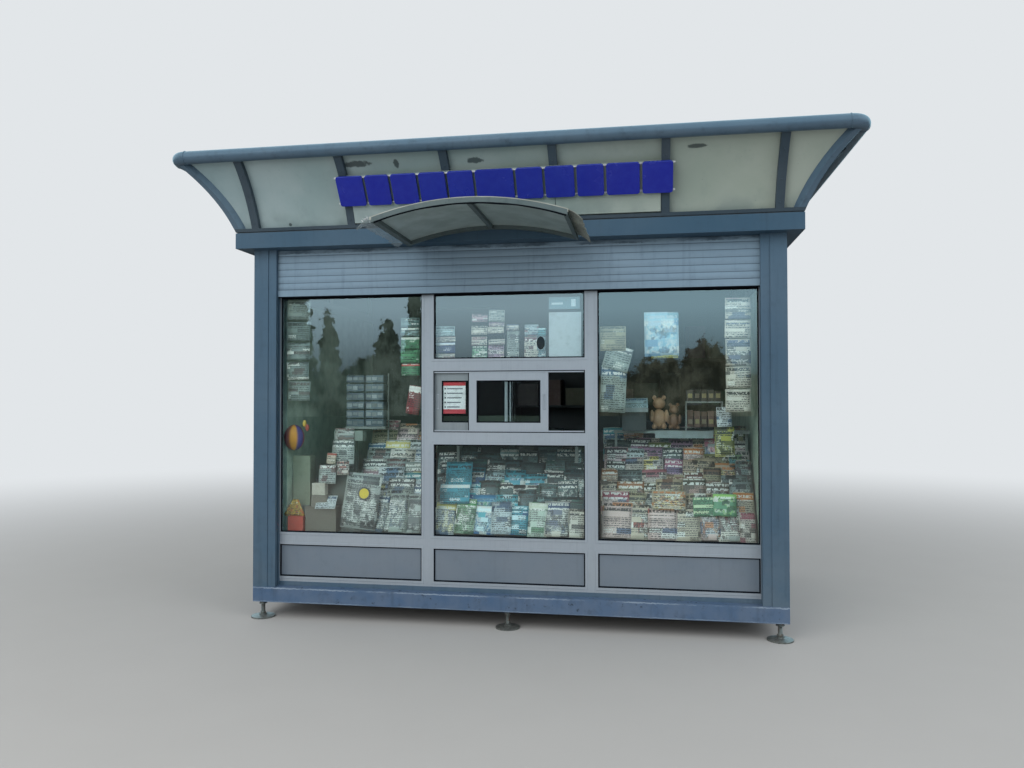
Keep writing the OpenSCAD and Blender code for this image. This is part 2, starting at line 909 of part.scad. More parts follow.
// Stepped display stands behind the glass of the three front bays
module display_stand() {
    depth = stand_tread * stand_steps;
    stand_w = front_bay + bar_w - 2 * stand_side_gap;
    stand_y = setback + frame_t + stand_front_gap;
    for (i = [0:stand_steps - 1]) {
        tread_z = stand_first_z + i * stand_rise;
        riser_low = (i == 0) ? z_wall : tread_z - stand_rise;
        bar(0, stand_y + i * stand_tread, riser_low, stand_w, stand_board, tread_z - riser_low);
        bar(0, stand_y + i * stand_tread, tread_z - stand_board, stand_w,
            stand_tread + stand_board, stand_board);
    }
    for (s = [-1, 1])
        bar(s * (stand_w - stand_board) / 2, stand_y + depth, z_wall, stand_board,
            stand_board, stand_first_z + (stand_steps - 1) * stand_rise - z_wall);
}

module display_stands() {
    color([0.70, 0.71, 0.70])
        on_wall(FRONT)
            for (s = [-1, 0, 1])
                translate([s * side_bay_x, 0, 0])
                    display_stand();
}

base_beams_long();
base_beams_side();
sill_strips();
corner_posts();
foot_plates();
foot_spindles();
floor_panel();
ceiling_panel();
front_stiles();
front_rails();
glass_front();
kick_panels_front();
hatch_tracks();
hatch_sash_left();
hatch_sash_right();
hatch_glass();
shutter_guides();
shutter_curtain();
shutter_end_slat();
shutter_box();
shutter_roll();
side_stiles();
side_rails();
glass_side();
kick_panels_side();
fascia_panels_side();
back_wall_beside_door();
back_wall_over_door();
door_frame();
back_door();
door_furniture();
cornice_long();
cornice_side();
roof_deck();
flare_sills();
flare_ribs();
hip_ribs();
flare_panels_long();
flare_panels_side();
rim_tubes();
rim_bends();
awning_arches();
awning_ribs();
awning_sheet();
display_stands();
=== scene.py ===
"""Looks of the street kiosk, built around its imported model.

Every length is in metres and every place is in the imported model's own axes: X to the right along
the front, Y from the customer's side to the back, Z up from the ground.
"""

import logging
import math
from dataclasses import dataclass, field
from enum import Enum
from typing import Callable, ClassVar

import bmesh
import bpy
import numpy as np
from mathutils import Matrix, Vector


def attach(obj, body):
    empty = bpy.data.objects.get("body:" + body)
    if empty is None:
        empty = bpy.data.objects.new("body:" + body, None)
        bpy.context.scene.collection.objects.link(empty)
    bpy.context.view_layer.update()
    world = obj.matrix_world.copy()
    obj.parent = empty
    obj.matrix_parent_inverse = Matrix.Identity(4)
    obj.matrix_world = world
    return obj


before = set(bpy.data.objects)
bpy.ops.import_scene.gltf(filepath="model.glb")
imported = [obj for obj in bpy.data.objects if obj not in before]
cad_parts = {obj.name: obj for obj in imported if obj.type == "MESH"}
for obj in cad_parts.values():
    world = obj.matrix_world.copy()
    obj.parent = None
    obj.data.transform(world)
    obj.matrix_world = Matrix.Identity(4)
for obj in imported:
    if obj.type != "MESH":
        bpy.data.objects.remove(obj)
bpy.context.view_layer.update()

logging.basicConfig(level=logging.INFO, format="%(message)s")
LOG = logging.getLogger("kiosk")

Array = np.ndarray
Material = bpy.types.Material
Node = bpy.types.Node
Object = bpy.types.Object
Rgb = tuple[float, float, float]
Socket = bpy.types.NodeSocket
Surface = tuple[Array, Array | list[Array]]
Tree = bpy.types.NodeTree


# Sizes and axes

@dataclass(frozen=True)
class Plan:
    """Sizes that several sub-assemblies share."""

    body_w: float = 3.1
    body_d: float = 1.9
    y_front: float = -0.7726
    frame_face: float = 0.065
    glass_y: float = 0.085
    glass_t: float = 0.006
    kick_t: float = 0.02
    bay_w: float = 0.89333
    bay_x: float = 0.96333
    side_bay_w: float = 0.755
    side_bay_x: float = 0.4125
    z_kick: float = 0.242
    z_kick_top: float = 0.438
    z_glass: float = 0.508
    z_glass_top: float = 1.937
    z_below_hatch: float = 1.05
    z_above_hatch: float = 1.551
    z_fascia: float = 2.007
    z_cornice: float = 2.217
    z_deck: float = 2.309
    flare_out: float = 0.91444
    flare_z: float = 2.01129
    flare_r: float = 0.888
    rim_out: float = 0.32924
    rim_z: float = 2.69926
    rim_r: float = 0.036
    bend_r: float = 0.075

    @property
    def y_mid(self) -> float:
        """Middle of the body between its front and its back."""
        return self.y_front + self.body_d / 2


PLAN = Plan()


class Wall(Enum):
    """The four walls, numbered as quarter turns from the front."""

    FRONT = 0
    RIGHT = 1
    BACK = 2
    LEFT = 3

    @property
    def length(self) -> float:
        """Length of the wall over the corner posts."""
        return PLAN.body_w if self.value % 2 == 0 else PLAN.body_d

    def place(self, local: Array) -> Array:
        """Takes points from the wall's own axes into the model's.

        Args:
            local: points whose last axis is X to the right, Y inwards from the posts' faces and Z up,
                as seen from outside the wall.

        Returns:
            The same points in the model's axes.
        """
        half = (PLAN.body_d if self.value % 2 == 0 else PLAN.body_w) / 2
        cos, sin = ((1, 0), (0, 1), (-1, 0), (0, -1))[self.value]
        x, y = local[..., 0], local[..., 1] - half
        return points_at(cos * x - sin * y, sin * x + cos * y + PLAN.y_mid, local[..., 2])


# Mesh making

@dataclass
class Patchwork:
    """Gathers the surfaces of one piece and turns them into a mesh."""

    points: list[Array] = field(default_factory=list)
    faces: list[Array] = field(default_factory=list)
    uvs: list[Array] = field(default_factory=list)
    tints: dict[str, list[Array]] = field(default_factory=dict)
    count: int = 0

    def add(self, points: Array, faces: Array | list[Array], uv: Array | None = None,
            **tints: Array) -> None:
        """Adds one surface.

        Args:
            points: N by 3 places.
            faces: M by 3 or M by 4 indices into points, or several such blocks.
            uv: N by 2 coordinates of a print, where the piece has one.
            tints: one colour or N by 3 colours, by the name of their attribute.
        """
        points = np.asarray(points, float).reshape(-1, 3)
        self.points.append(points)
        self.faces += [np.asarray(block, int) + self.count
                       for block in (faces if isinstance(faces, list) else [faces])]
        if uv is not None:
            self.uvs.append(np.asarray(uv, float).reshape(-1, 2))
        for name, colours in tints.items():
            colours = np.asarray(colours, float).reshape(-1, 3)
            self.tints.setdefault(name, []).append(np.broadcast_to(colours, points.shape))
        self.count += len(points)

    def lay(self, wall: Wall, points: Array, faces: Array | list[Array], **tints: Array) -> None:
        """Adds one surface that is given in a wall's own axes."""
        self.add(wall.place(points), faces, **tints)

    def build(self, name: str, material: Material, smooth: bool = False,
              closed: bool = True) -> Object:
        """Makes the mesh object, which rides on the body.

        Args:
            name: the piece's name.
            material: its finish.
            smooth: whether its faces are shaded as one curved surface.
            closed: whether its shells are closed, so that their faces are turned outwards.

        Returns:
            The new object, at the origin.
        """
        points = np.concatenate(self.points)
        polygons = [face for block in self.faces for face in block.tolist()]
        mesh = bpy.data.meshes.new(name)
        mesh.from_pydata(points.tolist(), [], polygons)
        corner = np.zeros(len(mesh.loops), np.int32)
        mesh.loops.foreach_get("vertex_index", corner)
        if self.uvs:
            layer = mesh.uv_layers.new(name="print")
            layer.data.foreach_set("uv", np.concatenate(self.uvs)[corner].astype(np.float32).ravel())
        for label, blocks in self.tints.items():
            colours = np.concatenate(blocks)
            alpha = np.ones((len(colours), 1))
            layer = mesh.color_attributes.new(label, "FLOAT_COLOR", "POINT")
            layer.data.foreach_set("color", np.hstack([colours, alpha]).astype(np.float32).ravel())
        if closed:
            work = bmesh.new()
            work.from_mesh(mesh)
            bmesh.ops.recalc_face_normals(work, faces=work.faces)
            work.to_mesh(mesh)
            work.free()
        mesh.polygons.foreach_set("use_smooth", np.full(len(mesh.polygons), smooth))
        mesh.materials.append(material)
        mesh.update()
        piece = place_in_scene(name, mesh)
        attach(piece, "root")
        LOG.info("%s: %d points, %d faces", name, len(points), len(polygons))
        return piece


def points_at(x: Array | float, y: Array | float, z: Array | float) -> Array:
    """Points from their X, Y and Z: each is a number or an array, and all are spread over one grid."""
    return np.stack(np.broadcast_arrays(x, y, z), -1)


def around(count: int) -> Array:
    """Angles of even steps round a circle."""
    return np.linspace(0, 2 * np.pi, count, endpoint=False)


def unit(vectors: Array) -> Array:
    """The same directions with a length of 1."""
    return vectors / np.linalg.norm(vectors, axis=-1, keepdims=True)


def grid_faces(rows: int, columns: int, wrap_rows: bool = False, wrap_columns: bool = True) -> Array:
    """Quads of a grid of points that is numbered row by row.

    Args:
        rows: number of rows of points.
        columns: number of points in a row.
        wrap_rows: whether the last row joins the first.
        wrap_columns: whether the last column joins the first.

    Returns:
        M by 4 indices.
    """
    i = np.arange(rows if wrap_rows else rows - 1)
    j = np.arange(columns if wrap_columns else columns - 1)
    i, j = (a.ravel() for a in np.meshgrid(i, j, indexing="ij"))
    down, right = (i + 1) % rows, (j + 1) % columns
    return np.stack([i * columns + j, i * columns + right, down * columns + right, down * columns + j], -1)


def repeated(faces: Array, copies: int, stride: int) -> Array:
    """The same faces for several copies of a surface, each with stride points."""
    shift = (np.arange(copies) * stride)[:, None, None]
    return (faces[None] + shift).reshape(-1, faces.shape[1])


def box_cells(low: Array | list, high: Array | list) -> Surface:
    """Boxes between pairs of corners: each corner takes its X, Y and Z from the low or the high end.

    Args:
        low: N by 3 lowest corners.
        high: N by 3 highest corners.

    Returns:
        Points and faces, with the faces outwards.
    """
    low, high = np.atleast_2d(low).astype(float), np.atleast_2d(high).astype(float)
    pick = np.array([[0, 0, 0], [1, 0, 0], [1, 1, 0], [0, 1, 0],
                     [0, 0, 1], [1, 0, 1], [1, 1, 1], [0, 1, 1]])
    points = np.where(pick[None] == 1, high[:, None], low[:, None])
    faces = np.array([[0, 3, 2, 1], [4, 5, 6, 7], [0, 1, 5, 4], [1, 2, 6, 5], [2, 3, 7, 6], [3, 0, 4, 7]])
    return points.reshape(-1, 3), repeated(faces, len(low), 8)


def mitred_rings(rects: Array | list, profile: Array | list) -> Surface:
    """Closed strips round rectangles, mitred at the corners.

    A point is the rectangle's middle plus or minus its half size less the profile's inset, so each
    corner of the strip lies on the bisector of the rectangle's corner.

    Args:
        rects: N by 4 values: middle x, middle z, half width and half height.
        profile: K by 2 closed outline: inset into the rectangle, and depth along Y.

    Returns:
        Points and faces in a wall's own axes.
    """
    rects, profile = np.atleast_2d(rects).astype(float), np.asarray(profile, float)
    sides = np.array([[-1, -1], [1, -1], [1, 1], [-1, 1]], float)
    inset, depth = profile[:, 0], profile[:, 1]
    x, z = (rects[:, None, None, k] + sides[None, :, None, k] * (rects[:, None, None, k + 2] - inset)
            for k in range(2))
    faces = repeated(grid_faces(4, len(profile), True), len(rects), 4 * len(profile))
    return points_at(x, depth, z).reshape(-1, 3), faces


def square_to(ahead: Array, steep: float) -> tuple[Array, Array]:
    """Two directions that are square to each given one and to each other.

    Args:
        ahead: N by 3 directions with a length of 1.
        steep: the Z part past which the X axis is the guide instead of the Z axis.

    Returns:
        N by 3 directions across, and N by 3 directions up.
    """
    guide = np.where(np.abs(ahead[:, 2:3]) > steep, [[1.0, 0.0, 0.0]], [[0.0, 0.0, 1.0]])
    across = unit(np.cross(ahead, guide))
    return across, np.cross(across, ahead)


def capped(rings: Array, first: Array, last: Array) -> Surface:
    """A tube through rings of points, closed at its ends by triangles about two hub points.

    Args:
        rings: rows by columns by 3 points, with a ring in each row.
        first: the first ring's hub.
        last: the last ring's hub.

    Returns:
        Points and faces.
    """
    rows, sides = rings.shape[:2]
    hub, j = rows * sides, np.arange(sides)
    fans = [np.stack([np.full(sides, hub + k), start + j, start + (j + 1) % sides], -1)
            for k, start in enumerate((0, hub - sides))]
    return np.concatenate([rings.reshape(-1, 3), [first], [last]]), [grid_faces(rows, sides), *fans]


def swept_tube(path: Array, radius: float, sides: int) -> Surface:
    """A round bar along a path, closed at both ends.

    Each ring is the circle radius·(cos t·A + sin t·B) about the path's point, where A and B are
    square to the path's direction there.

    Args:
        path: N by 3 points.
        radius: radius of the bar.
        sides: number of points round the bar.

    Returns:
        Points and faces.
    """
    across, up = square_to(unit(np.gradient(path, axis=0)), 0.9)
    t = around(sides)[None, :, None]
    return capped(path[:, None] + radius * (np.cos(t) * across[:, None] + np.sin(t) * up[:, None]),
                  path[0], path[-1])


def turned(profile: Array | list, centres: Array, sides: int = 24) -> Surface:
    """Round pieces turned about vertical axes: each profile point (r, z) sweeps a circle of radius r.

    Args:
        profile: K by 2 radii and levels, from one end of the axis to the other.
        centres: N by 3 places of the axes' feet.
        sides: number of points round each piece.

    Returns:
        Points and faces.
    """
    t, profile = around(sides), np.asarray(profile, float)
    radius, level = profile[:, 0:1], profile[:, 1:2]
    one = points_at(np.cos(t) * radius, np.sin(t) * radius, level).reshape(-1, 3)
    points = (centres[:, None] + one[None]).reshape(-1, 3)
    return points, repeated(grid_faces(len(profile), sides), len(centres), len(one))


def domes(centres: Array, outward: Array, radius: float) -> Surface:
    """Round screw heads: rings at the angles a of a quarter circle, radius·cos a wide and height·sin a high.

    Args:
        centres: N by 3 places on the surface.
        outward: N by 3 directions out of it.
        radius: radius of a head.

    Returns:
        Points and faces.
    """
    height, sunk, sides = 0.003, -0.001, 8
    outward = unit(outward.astype(float))
    across, up = square_to(outward, 0.8)
    angle = np.array([-0.6, 0.0, 0.5, 1.0, 1.5])
    t = around(sides)[None, None, :, None]
    wide = radius * np.cos(np.maximum(angle, 0.0))[None, :, None, None]
    high = np.where(angle < 0, sunk, height * np.sin(np.maximum(angle, 0.0)))[None, :, None, None]
    ring = np.cos(t) * across[:, None, None] + np.sin(t) * up[:, None, None]
    points = centres[:, None, None] + wide * ring + high * outward[:, None, None]
    return points.reshape(-1, 3), repeated(grid_faces(len(angle), sides), len(centres), len(angle) * sides)


def flare_y(z: Array | float, radius: float) -> Array:
    """Y of the canopy's hollow curve: its centre's Y plus the root of radius² less (z − centre z)²."""
    return -PLAN.flare_out + np.sqrt(radius ** 2 - (z - PLAN.flare_z) ** 2)


def place_in_scene(name: str, data: bpy.types.ID) -> Object:
    """An object for a mesh, a lamp or a camera, linked to the scene."""
    thing = bpy.data.objects.new(name, data)
    bpy.context.scene.collection.objects.link(thing)
    return thing


def bevel(piece: Object, width: float) -> None:
    """Rounds a piece's sharp edges."""
    modifier = piece.modifiers.new("edges", "BEVEL")
    modifier.width = width
    modifier.segments = 2
    modifier.limit_method = "ANGLE"


def thicken(piece: Object, thickness: float) -> None:
    """Gives a sheet its thickness, half to each side."""
    modifier = piece.modifiers.new("thickness", "SOLIDIFY")
    modifier.thickness = thickness
    modifier.offset = 0.0


# Shader graphs

def linear(colour: Rgb) -> tuple[float, float, float, float]:
    """Turns a display colour from 0 to 255 into the linear colour that a shader takes."""
    parts = [c / 255 for c in colour]
    return tuple(c / 12.92 if c <= 0.04045 else ((c + 0.055) / 1.055) ** 2.4 for c in parts) + (1.0,)


class Graph:
    """Adds nodes to one node tree."""

    def __init__(self, tree: Tree) -> None:
        """Keeps the tree that the nodes go into."""
        self.tree = tree

    def node(self, kind: str, **settings: object) -> Node:
        """Adds a node and sets its own properties."""
        node = self.tree.nodes.new(kind)
        for name, value in settings.items():
            setattr(node, name, value)
        return node

    def feed(self, socket: Socket, source: object) -> None:
        """Links a socket to another one, or sets its value."""
        if isinstance(source, Socket):
            self.tree.links.new(source, socket)
        else:
            socket.default_value = source

    def fill(self, node: Node, **sources: object) -> Node:
        """Feeds a node's inputs. An underscore in a name stands for the space in its socket's name."""
        for name, source in sources.items():
            self.feed(node.inputs[name.replace("_", " ")], source)
        return node

    def math(self, operation: str, a: object, b: object = 0.0, clamp: bool = False) -> Socket:
        """The result of one operation on two numbers."""
        node = self.node("ShaderNodeMath", operation=operation, use_clamp=clamp)
        self.feed(node.inputs[0], a)
        self.feed(node.inputs[1], b)
        return node.outputs[0]

    def plus(self, a: object, b: object, clamp: bool = False) -> Socket:
        """The sum of two numbers."""
        return self.math("ADD", a, b, clamp)

    def less(self, a: object, b: object) -> Socket:
        """The first number less the second."""
        return self.math("SUBTRACT", a, b)

    def rest(self, share: object, clamp: bool = False) -> Socket:
        """What a share leaves of 1."""
        return self.math("SUBTRACT", 1.0, share, clamp)

    def product(self, *factors: object) -> Socket:
        """The product of several numbers."""
        result = factors[0]
        for factor in factors[1:]:
            result = self.math("MULTIPLY", result, factor)
        return result

    def length(self, a: Socket, b: Socket) -> Socket:
        """The root of the sum of two squares."""
        return self.math("SQRT", self.plus(self.product(a, a), self.product(b, b)))

    def mix(self, factor: object, a: object, b: object) -> Socket:
        """A colour between a and b. The node's sockets share their names, so they are numbered."""
        node = self.node("ShaderNodeMix", data_type="RGBA")
        for place, source in ((0, factor), (6, a), (7, b)):
            self.feed(node.inputs[place], source)
        return node.outputs[2]

    def step(self, value: object, low: object, high: object, smooth: bool = True) -> Socket:
        """Rises from 0 at low to 1 at high."""
        node = self.node("ShaderNodeMapRange", interpolation_type="SMOOTHSTEP" if smooth else "LINEAR")
        return self.fill(node, Value=value, From_Min=low, From_Max=high).outputs["Result"]

    def band(self, value: object, low: float, high: float, soft: float = 0.01) -> Socket:
        """1 between low and high, and 0 outside them."""
        return self.product(self.step(value, low - soft, low + soft),
                            self.rest(self.step(value, high - soft, high + soft)))

    def noise(self, vector: Socket, scale: object, detail: float = 2.0, roughness: float = 0.5) -> Socket:
        """A cloudy value from about 0.2 to 0.8."""
        return self.fill(self.node("ShaderNodeTexNoise"), Vector=vector, Scale=scale, Detail=detail,
                         Roughness=roughness).outputs[0]

    def swing(self, vector: Socket, scale: float, detail: float, roughness: float, reach: object) -> Socket:
        """Noise that goes up and down about 0, times its reach."""
        return self.product(self.less(self.noise(vector, scale, detail, roughness), 0.5), reach)

    def stretch(self, vector: Socket, scale: Rgb) -> Socket:
        """Scales a pattern's coordinates."""
        return self.fill(self.node("ShaderNodeMapping"), Vector=vector, Scale=scale).outputs[0]

    def parts(self, vector: Socket) -> tuple[Socket, Socket, Socket]:
        """The three numbers of a vector."""
        node = self.node("ShaderNodeSeparateXYZ")
        self.feed(node.inputs[0], vector)
        return node.outputs[0], node.outputs[1], node.outputs[2]

    def vector(self, *numbers: object) -> Socket:
        """A vector from its numbers."""
        node = self.node("ShaderNodeCombineXYZ")
        for socket, source in zip(node.inputs, numbers):
            self.feed(socket, source)
        return node.outputs[0]

    def attribute(self, name: str, output: str = "Color") -> Socket:
        """A colour or vector that the mesh carries."""
        return self.node("ShaderNodeAttribute", attribute_name=name).outputs[output]

    def place(self, group: Tree, **values: object) -> Node:
        """Places a node group with its own values."""
        return self.fill(self.node("ShaderNodeGroup", node_tree=group), **values)


SOCKETS = {float: "NodeSocketFloat", tuple: "NodeSocketColor", type(None): "NodeSocketVector"}
BLACK, WHITE = (0, 0, 0, 1), (1, 1, 1, 1)


class Effect:
    """A shader node group with named inputs and outputs, opened for building."""

    def __init__(self, name: str, inputs: dict[str, object], outputs: dict[str, type]) -> None:
        """Makes the empty group.

        Args:
            name: the group's name.
            inputs: default of each input, by name: a number, a colour, or None for a vector.
            outputs: float for a number or tuple for a colour, by the output's name.
        """
        self.tree = bpy.data.node_groups.new(name, "ShaderNodeTree")
        for label, default in inputs.items():
            socket = self.tree.interface.new_socket(label, in_out="INPUT", socket_type=SOCKETS[type(default)])
            if default is not None:
                socket.default_value = default
        for label, kind in outputs.items():
            self.tree.interface.new_socket(label, in_out="OUTPUT", socket_type=SOCKETS[kind])
        self.graph = Graph(self.tree)
        self.entry = self.graph.node("NodeGroupInput")
        self.exit = self.graph.node("NodeGroupOutput")

    def __getitem__(self, label: str) -> Socket:
        """One of the group's inputs."""
        return self.entry.outputs[label]

    def give(self, label: str, socket: Socket) -> None:
        """Connects one of the group's outputs."""
        self.graph.feed(self.exit.inputs[label], socket)


def make_weathering() -> Tree:
    """Weather on a coat of paint or an anodised bar.

    The colour drifts a little over the whole surface, dirt runs down in streaks that are noise
    stretched twenty times along Z, grime sits in clouds, dust rises from the ground and chips are
    the peaks of a rough noise, with a darker rim. Faces inside the room take the near black Lining
    colour, which is painted shade for the dim room.

    Returns:
        The node group.
    """
    effect = Effect("weathering", {
        "Vector": None, "Paint": (0.1, 0.1, 0.1, 1),
        "Dirt": (0.03, 0.03, 0.03, 1), "Dust": (0.35, 0.33, 0.3, 1),
        "Chip": (0.2, 0.1, 0.06, 1), "Streaks": 0.3, "Grime": 0.3,
        "Low Dust": 0.3, "Chips": 0.0, "Chip Scale": 14.0,
        # Lining is near black: painted shade on faces inside the room.
        "Lining": (0.02, 0.023, 0.025, 1), "Roughness": 0.45},
        {"Colour": tuple, "Roughness": float, "Height": float})
    g = effect.graph
    vector, bare, soil, powder = (effect[label] for label in ("Vector", "Paint", "Dirt", "Dust"))
    drift = g.noise(vector, 1.7, 3.0)
    paint = g.mix(g.step(drift, 0.3, 0.7), g.mix(0.1, bare, soil),
                  g.mix(0.07, bare, powder))
    runs = g.noise(g.stretch(vector, (1, 1, 0.05)), 34.0, 4.0, 0.6)
    clouds = g.noise(vector, 5.0, 4.0, 0.6)
    streaks = g.product(g.step(runs, 0.5, 0.74), g.step(clouds, 0.3, 0.65), effect["Streaks"])
    grime = g.product(g.step(g.noise(vector, 21.0, 6.0, 0.65), 0.5, 0.78), effect["Grime"])
    x, y, z = g.parts(vector)
    low = g.rest(g.step(z, 0.06, 0.75))
    # Painted shade: faces inside the room take the near black Lining colour.
    inside = g.product(g.band(x, -1.465, 1.465, 0.002), g.band(y, -0.664, 1.085, 0.002),
                       g.band(z, 0.19, 2.23, 0.002))
    dust = g.product(low, g.step(g.noise(vector, 8.0, 5.0, 0.6), 0.28, 0.66), effect["Low Dust"])
    rough = g.noise(vector, effect["Chip Scale"], 8.0, 0.72)
    edge = g.less(0.78, g.product(effect["Chips"], 0.3))
    chip = g.step(rough, edge, g.plus(edge, 0.02))
    rim = g.step(rough, g.less(edge, 0.03), edge)
    colour = paint
    for mask, laid in ((dust, powder), (streaks, soil), (grime, soil), (g.product(rim, 0.45), soil),
                       (chip, effect["Chip"]), (inside, effect["Lining"])):
        colour = g.mix(mask, colour, laid)
    effect.give("Colour", colour)
    worn = g.plus(g.plus(g.product(streaks, 0.25), g.product(dust, 0.35)), g.product(chip, 0.3))
    effect.give("Roughness", g.plus(effect["Roughness"], worn, clamp=True))
    peel = g.product(g.noise(vector, 260.0, 2.0), 0.15)
    wave = g.product(g.noise(vector, 3.0, 1.0), 0.9)
    effect.give("Height", g.plus(g.plus(peel, wave), g.product(chip, -0.5)))
    return effect.tree


def make_stain() -> Tree:
    """One blot of dirt: 1 inside an ellipse about a centre in X and Z, with a ragged edge from noise."""
    effect = Effect("stain", {"Vector": None, "X": 0.0, "Z": 0.0,
                              "Half Width": 0.05, "Half Height": 0.02},
                    {"Mask": float})
    g = effect.graph
    x, _, z = g.parts(effect["Vector"])
    u = g.math("DIVIDE", g.less(x, effect["X"]), effect["Half Width"])
    v = g.math("DIVIDE", g.less(z, effect["Z"]), effect["Half Height"])
    ragged = g.plus(g.length(u, v), g.swing(effect["Vector"], 45.0, 3.0, 0.5, 1.2))
    effect.give("Mask", g.rest(g.step(ragged, 0.7, 1.15)))
    return effect.tree


def make_brushing() -> Tree:
    """Fine lines along one axis: noise that is stretched along Z and squeezed across it."""
    effect = Effect("brushing", {"Vector": None, "Strength": 0.1},
                    {"Mask": float})
    g = effect.graph
    lines = g.stretch(effect["Vector"], (1, 1, 0.015))
    effect.give("Mask", g.swing(lines, 620.0, 2.0, 0.5, effect["Strength"]))
    return effect.tree


def make_print() -> Tree:
    """Rows of small marks that stand for printing, from a sheet's own U and V.

    Rows are bands along V, and marks are blots of a noise that differs from row to row, so that no
    mark is a letter.
    """
    effect = Effect("print_rows", {"U": 0.0, "V": 0.0, "Rows": 40.0,
                                   "Marks": 60.0, "Seed": 0.0,
                                   "Cover": 0.5}, {"Mask": float})
    g = effect.graph
    along = g.product(effect["V"], effect["Rows"])
    row = g.math("FLOOR", along)
    inside = g.band(g.less(along, row), 0.22, 0.78, 0.06)
    spot = g.vector(g.product(effect["U"], effect["Marks"]),
                    g.plus(g.product(row, 3.7), g.product(along, 1.9)), effect["Seed"])
    marks = g.noise(spot, 1.0, 1.0)
    limit = g.less(0.72, g.product(effect["Cover"], 0.4))
    effect.give("Mask", g.product(inside, g.step(marks, limit, g.plus(limit, 0.04))))
    return effect.tree


WEATHERING = make_weathering()
STAIN = make_stain()
BRUSHING = make_brushing()
PRINT_ROWS = make_print()


class Coat(Graph):
    """The graph of a new material, with its Principled shader and its object coordinates."""

    def __init__(self, name: str) -> None:
        """Makes the material."""
        self.material = bpy.data.materials.new(name)
        self.material.use_nodes = True
        super().__init__(self.material.node_tree)
        self.shader = self.tree.nodes["Principled BSDF"]
        self.where = self.node("ShaderNodeTexCoord").outputs["Object"]

    def give(self, **sources: object) -> None:
        """Feeds the shader."""
        self.fill(self.shader, **sources)

    def bump(self, height: Socket, strength: float, distance: float) -> Socket:
        """Turns a height into a normal."""
        return self.fill(self.node("ShaderNodeBump"), Strength=strength, Distance=distance,
                         Height=height).outputs[0]


# Finishes

@dataclass(frozen=True)
class Finish:
    """A finish, which lays itself out on a new material."""

    name: str

    def build(self) -> Material:
        """Makes the material."""
        coat = Coat(self.name)
        self.draw(coat)
        return coat.material

    def draw(self, g: Coat) -> None:
        """Lays out the finish's nodes."""
        raise NotImplementedError


@dataclass(frozen=True)
class Paint(Finish):
    """A painted or anodised metal finish with its weather."""

    colour: Rgb
    roughness: float = 0.5
    metallic: float = 0.0
    streaks: float = 0.3
    grime: float = 0.25
    dust: float = 0.0
    chips: float = 0.0
    chip_scale: float = 14.0
    chip: Rgb = (96, 84, 76)
    dirt: Rgb = (38, 46, 54)
    dust_colour: Rgb = (150, 148, 142)
    brushed: float = 0.0
    bump: float = 0.2
    groove_pitch: float = 0.0
    groove_from: float = 0.0
    # Bands by level and half height: rubbed paint on the beams, painted shadow on the slats.
    worn: tuple[tuple[float, float], ...] = ()
    wear_and_shade_colour: Rgb = (150, 166, 182)
    gloss: float = 0.3

    def draw(self, g: Coat) -> None:
        """Weathers the colour, and lays brushing, bands of rubbed paint and of painted shadow, and the slats'
        grooves over it.
        """
        where = g.where
        coat = g.place(WEATHERING, Vector=where, Paint=linear(self.colour), Dirt=linear(self.dirt),
                       Dust=linear(self.dust_colour), Chip=linear(self.chip), Streaks=self.streaks,
                       Grime=self.grime, Low_Dust=self.dust, Chips=self.chips, Chip_Scale=self.chip_scale,
                       Roughness=self.roughness).outputs
        colour = coat["Colour"]
        if self.brushed:
            lines = g.place(BRUSHING, Vector=where, Strength=self.brushed).outputs["Mask"]
            dull, bright = g.mix(0.12, colour, BLACK), g.mix(0.12, colour, WHITE)
            colour = g.mix(g.plus(0.5, lines, clamp=True), dull, bright)
        # A band is lighter rubbed paint on the beams, and a painted shadow under the cornice on the slats.
        for level, half in self.worn:
            ragged = g.plus(g.parts(where)[2], g.swing(where, 60.0, 4.0, 0.6, 0.014))
            patches = g.step(g.noise(g.stretch(where, (0.25, 1, 1)), 15.0, 4.0, 0.6), 0.38, 0.6)
            bare = g.product(g.band(ragged, level - half, level + half, 0.0012), patches, 0.75)
            colour = g.mix(bare, colour, linear(self.wear_and_shade_colour))
        if self.groove_pitch:
            above = g.less(g.parts(where)[2], self.groove_from)
            share = g.math("FRACT", g.math("DIVIDE", above, self.groove_pitch))
            line = g.product(g.rest(g.band(share, 0.05, 0.95, 0.04)), g.step(above, -0.003, -0.002), 0.75)
            colour = g.mix(line, colour, linear(self.dirt))
        g.give(Base_Color=colour, Roughness=coat["Roughness"], Metallic=self.metallic,
               Specular_IOR_Level=self.gloss, Normal=g.bump(coat["Height"], self.bump, 0.002))


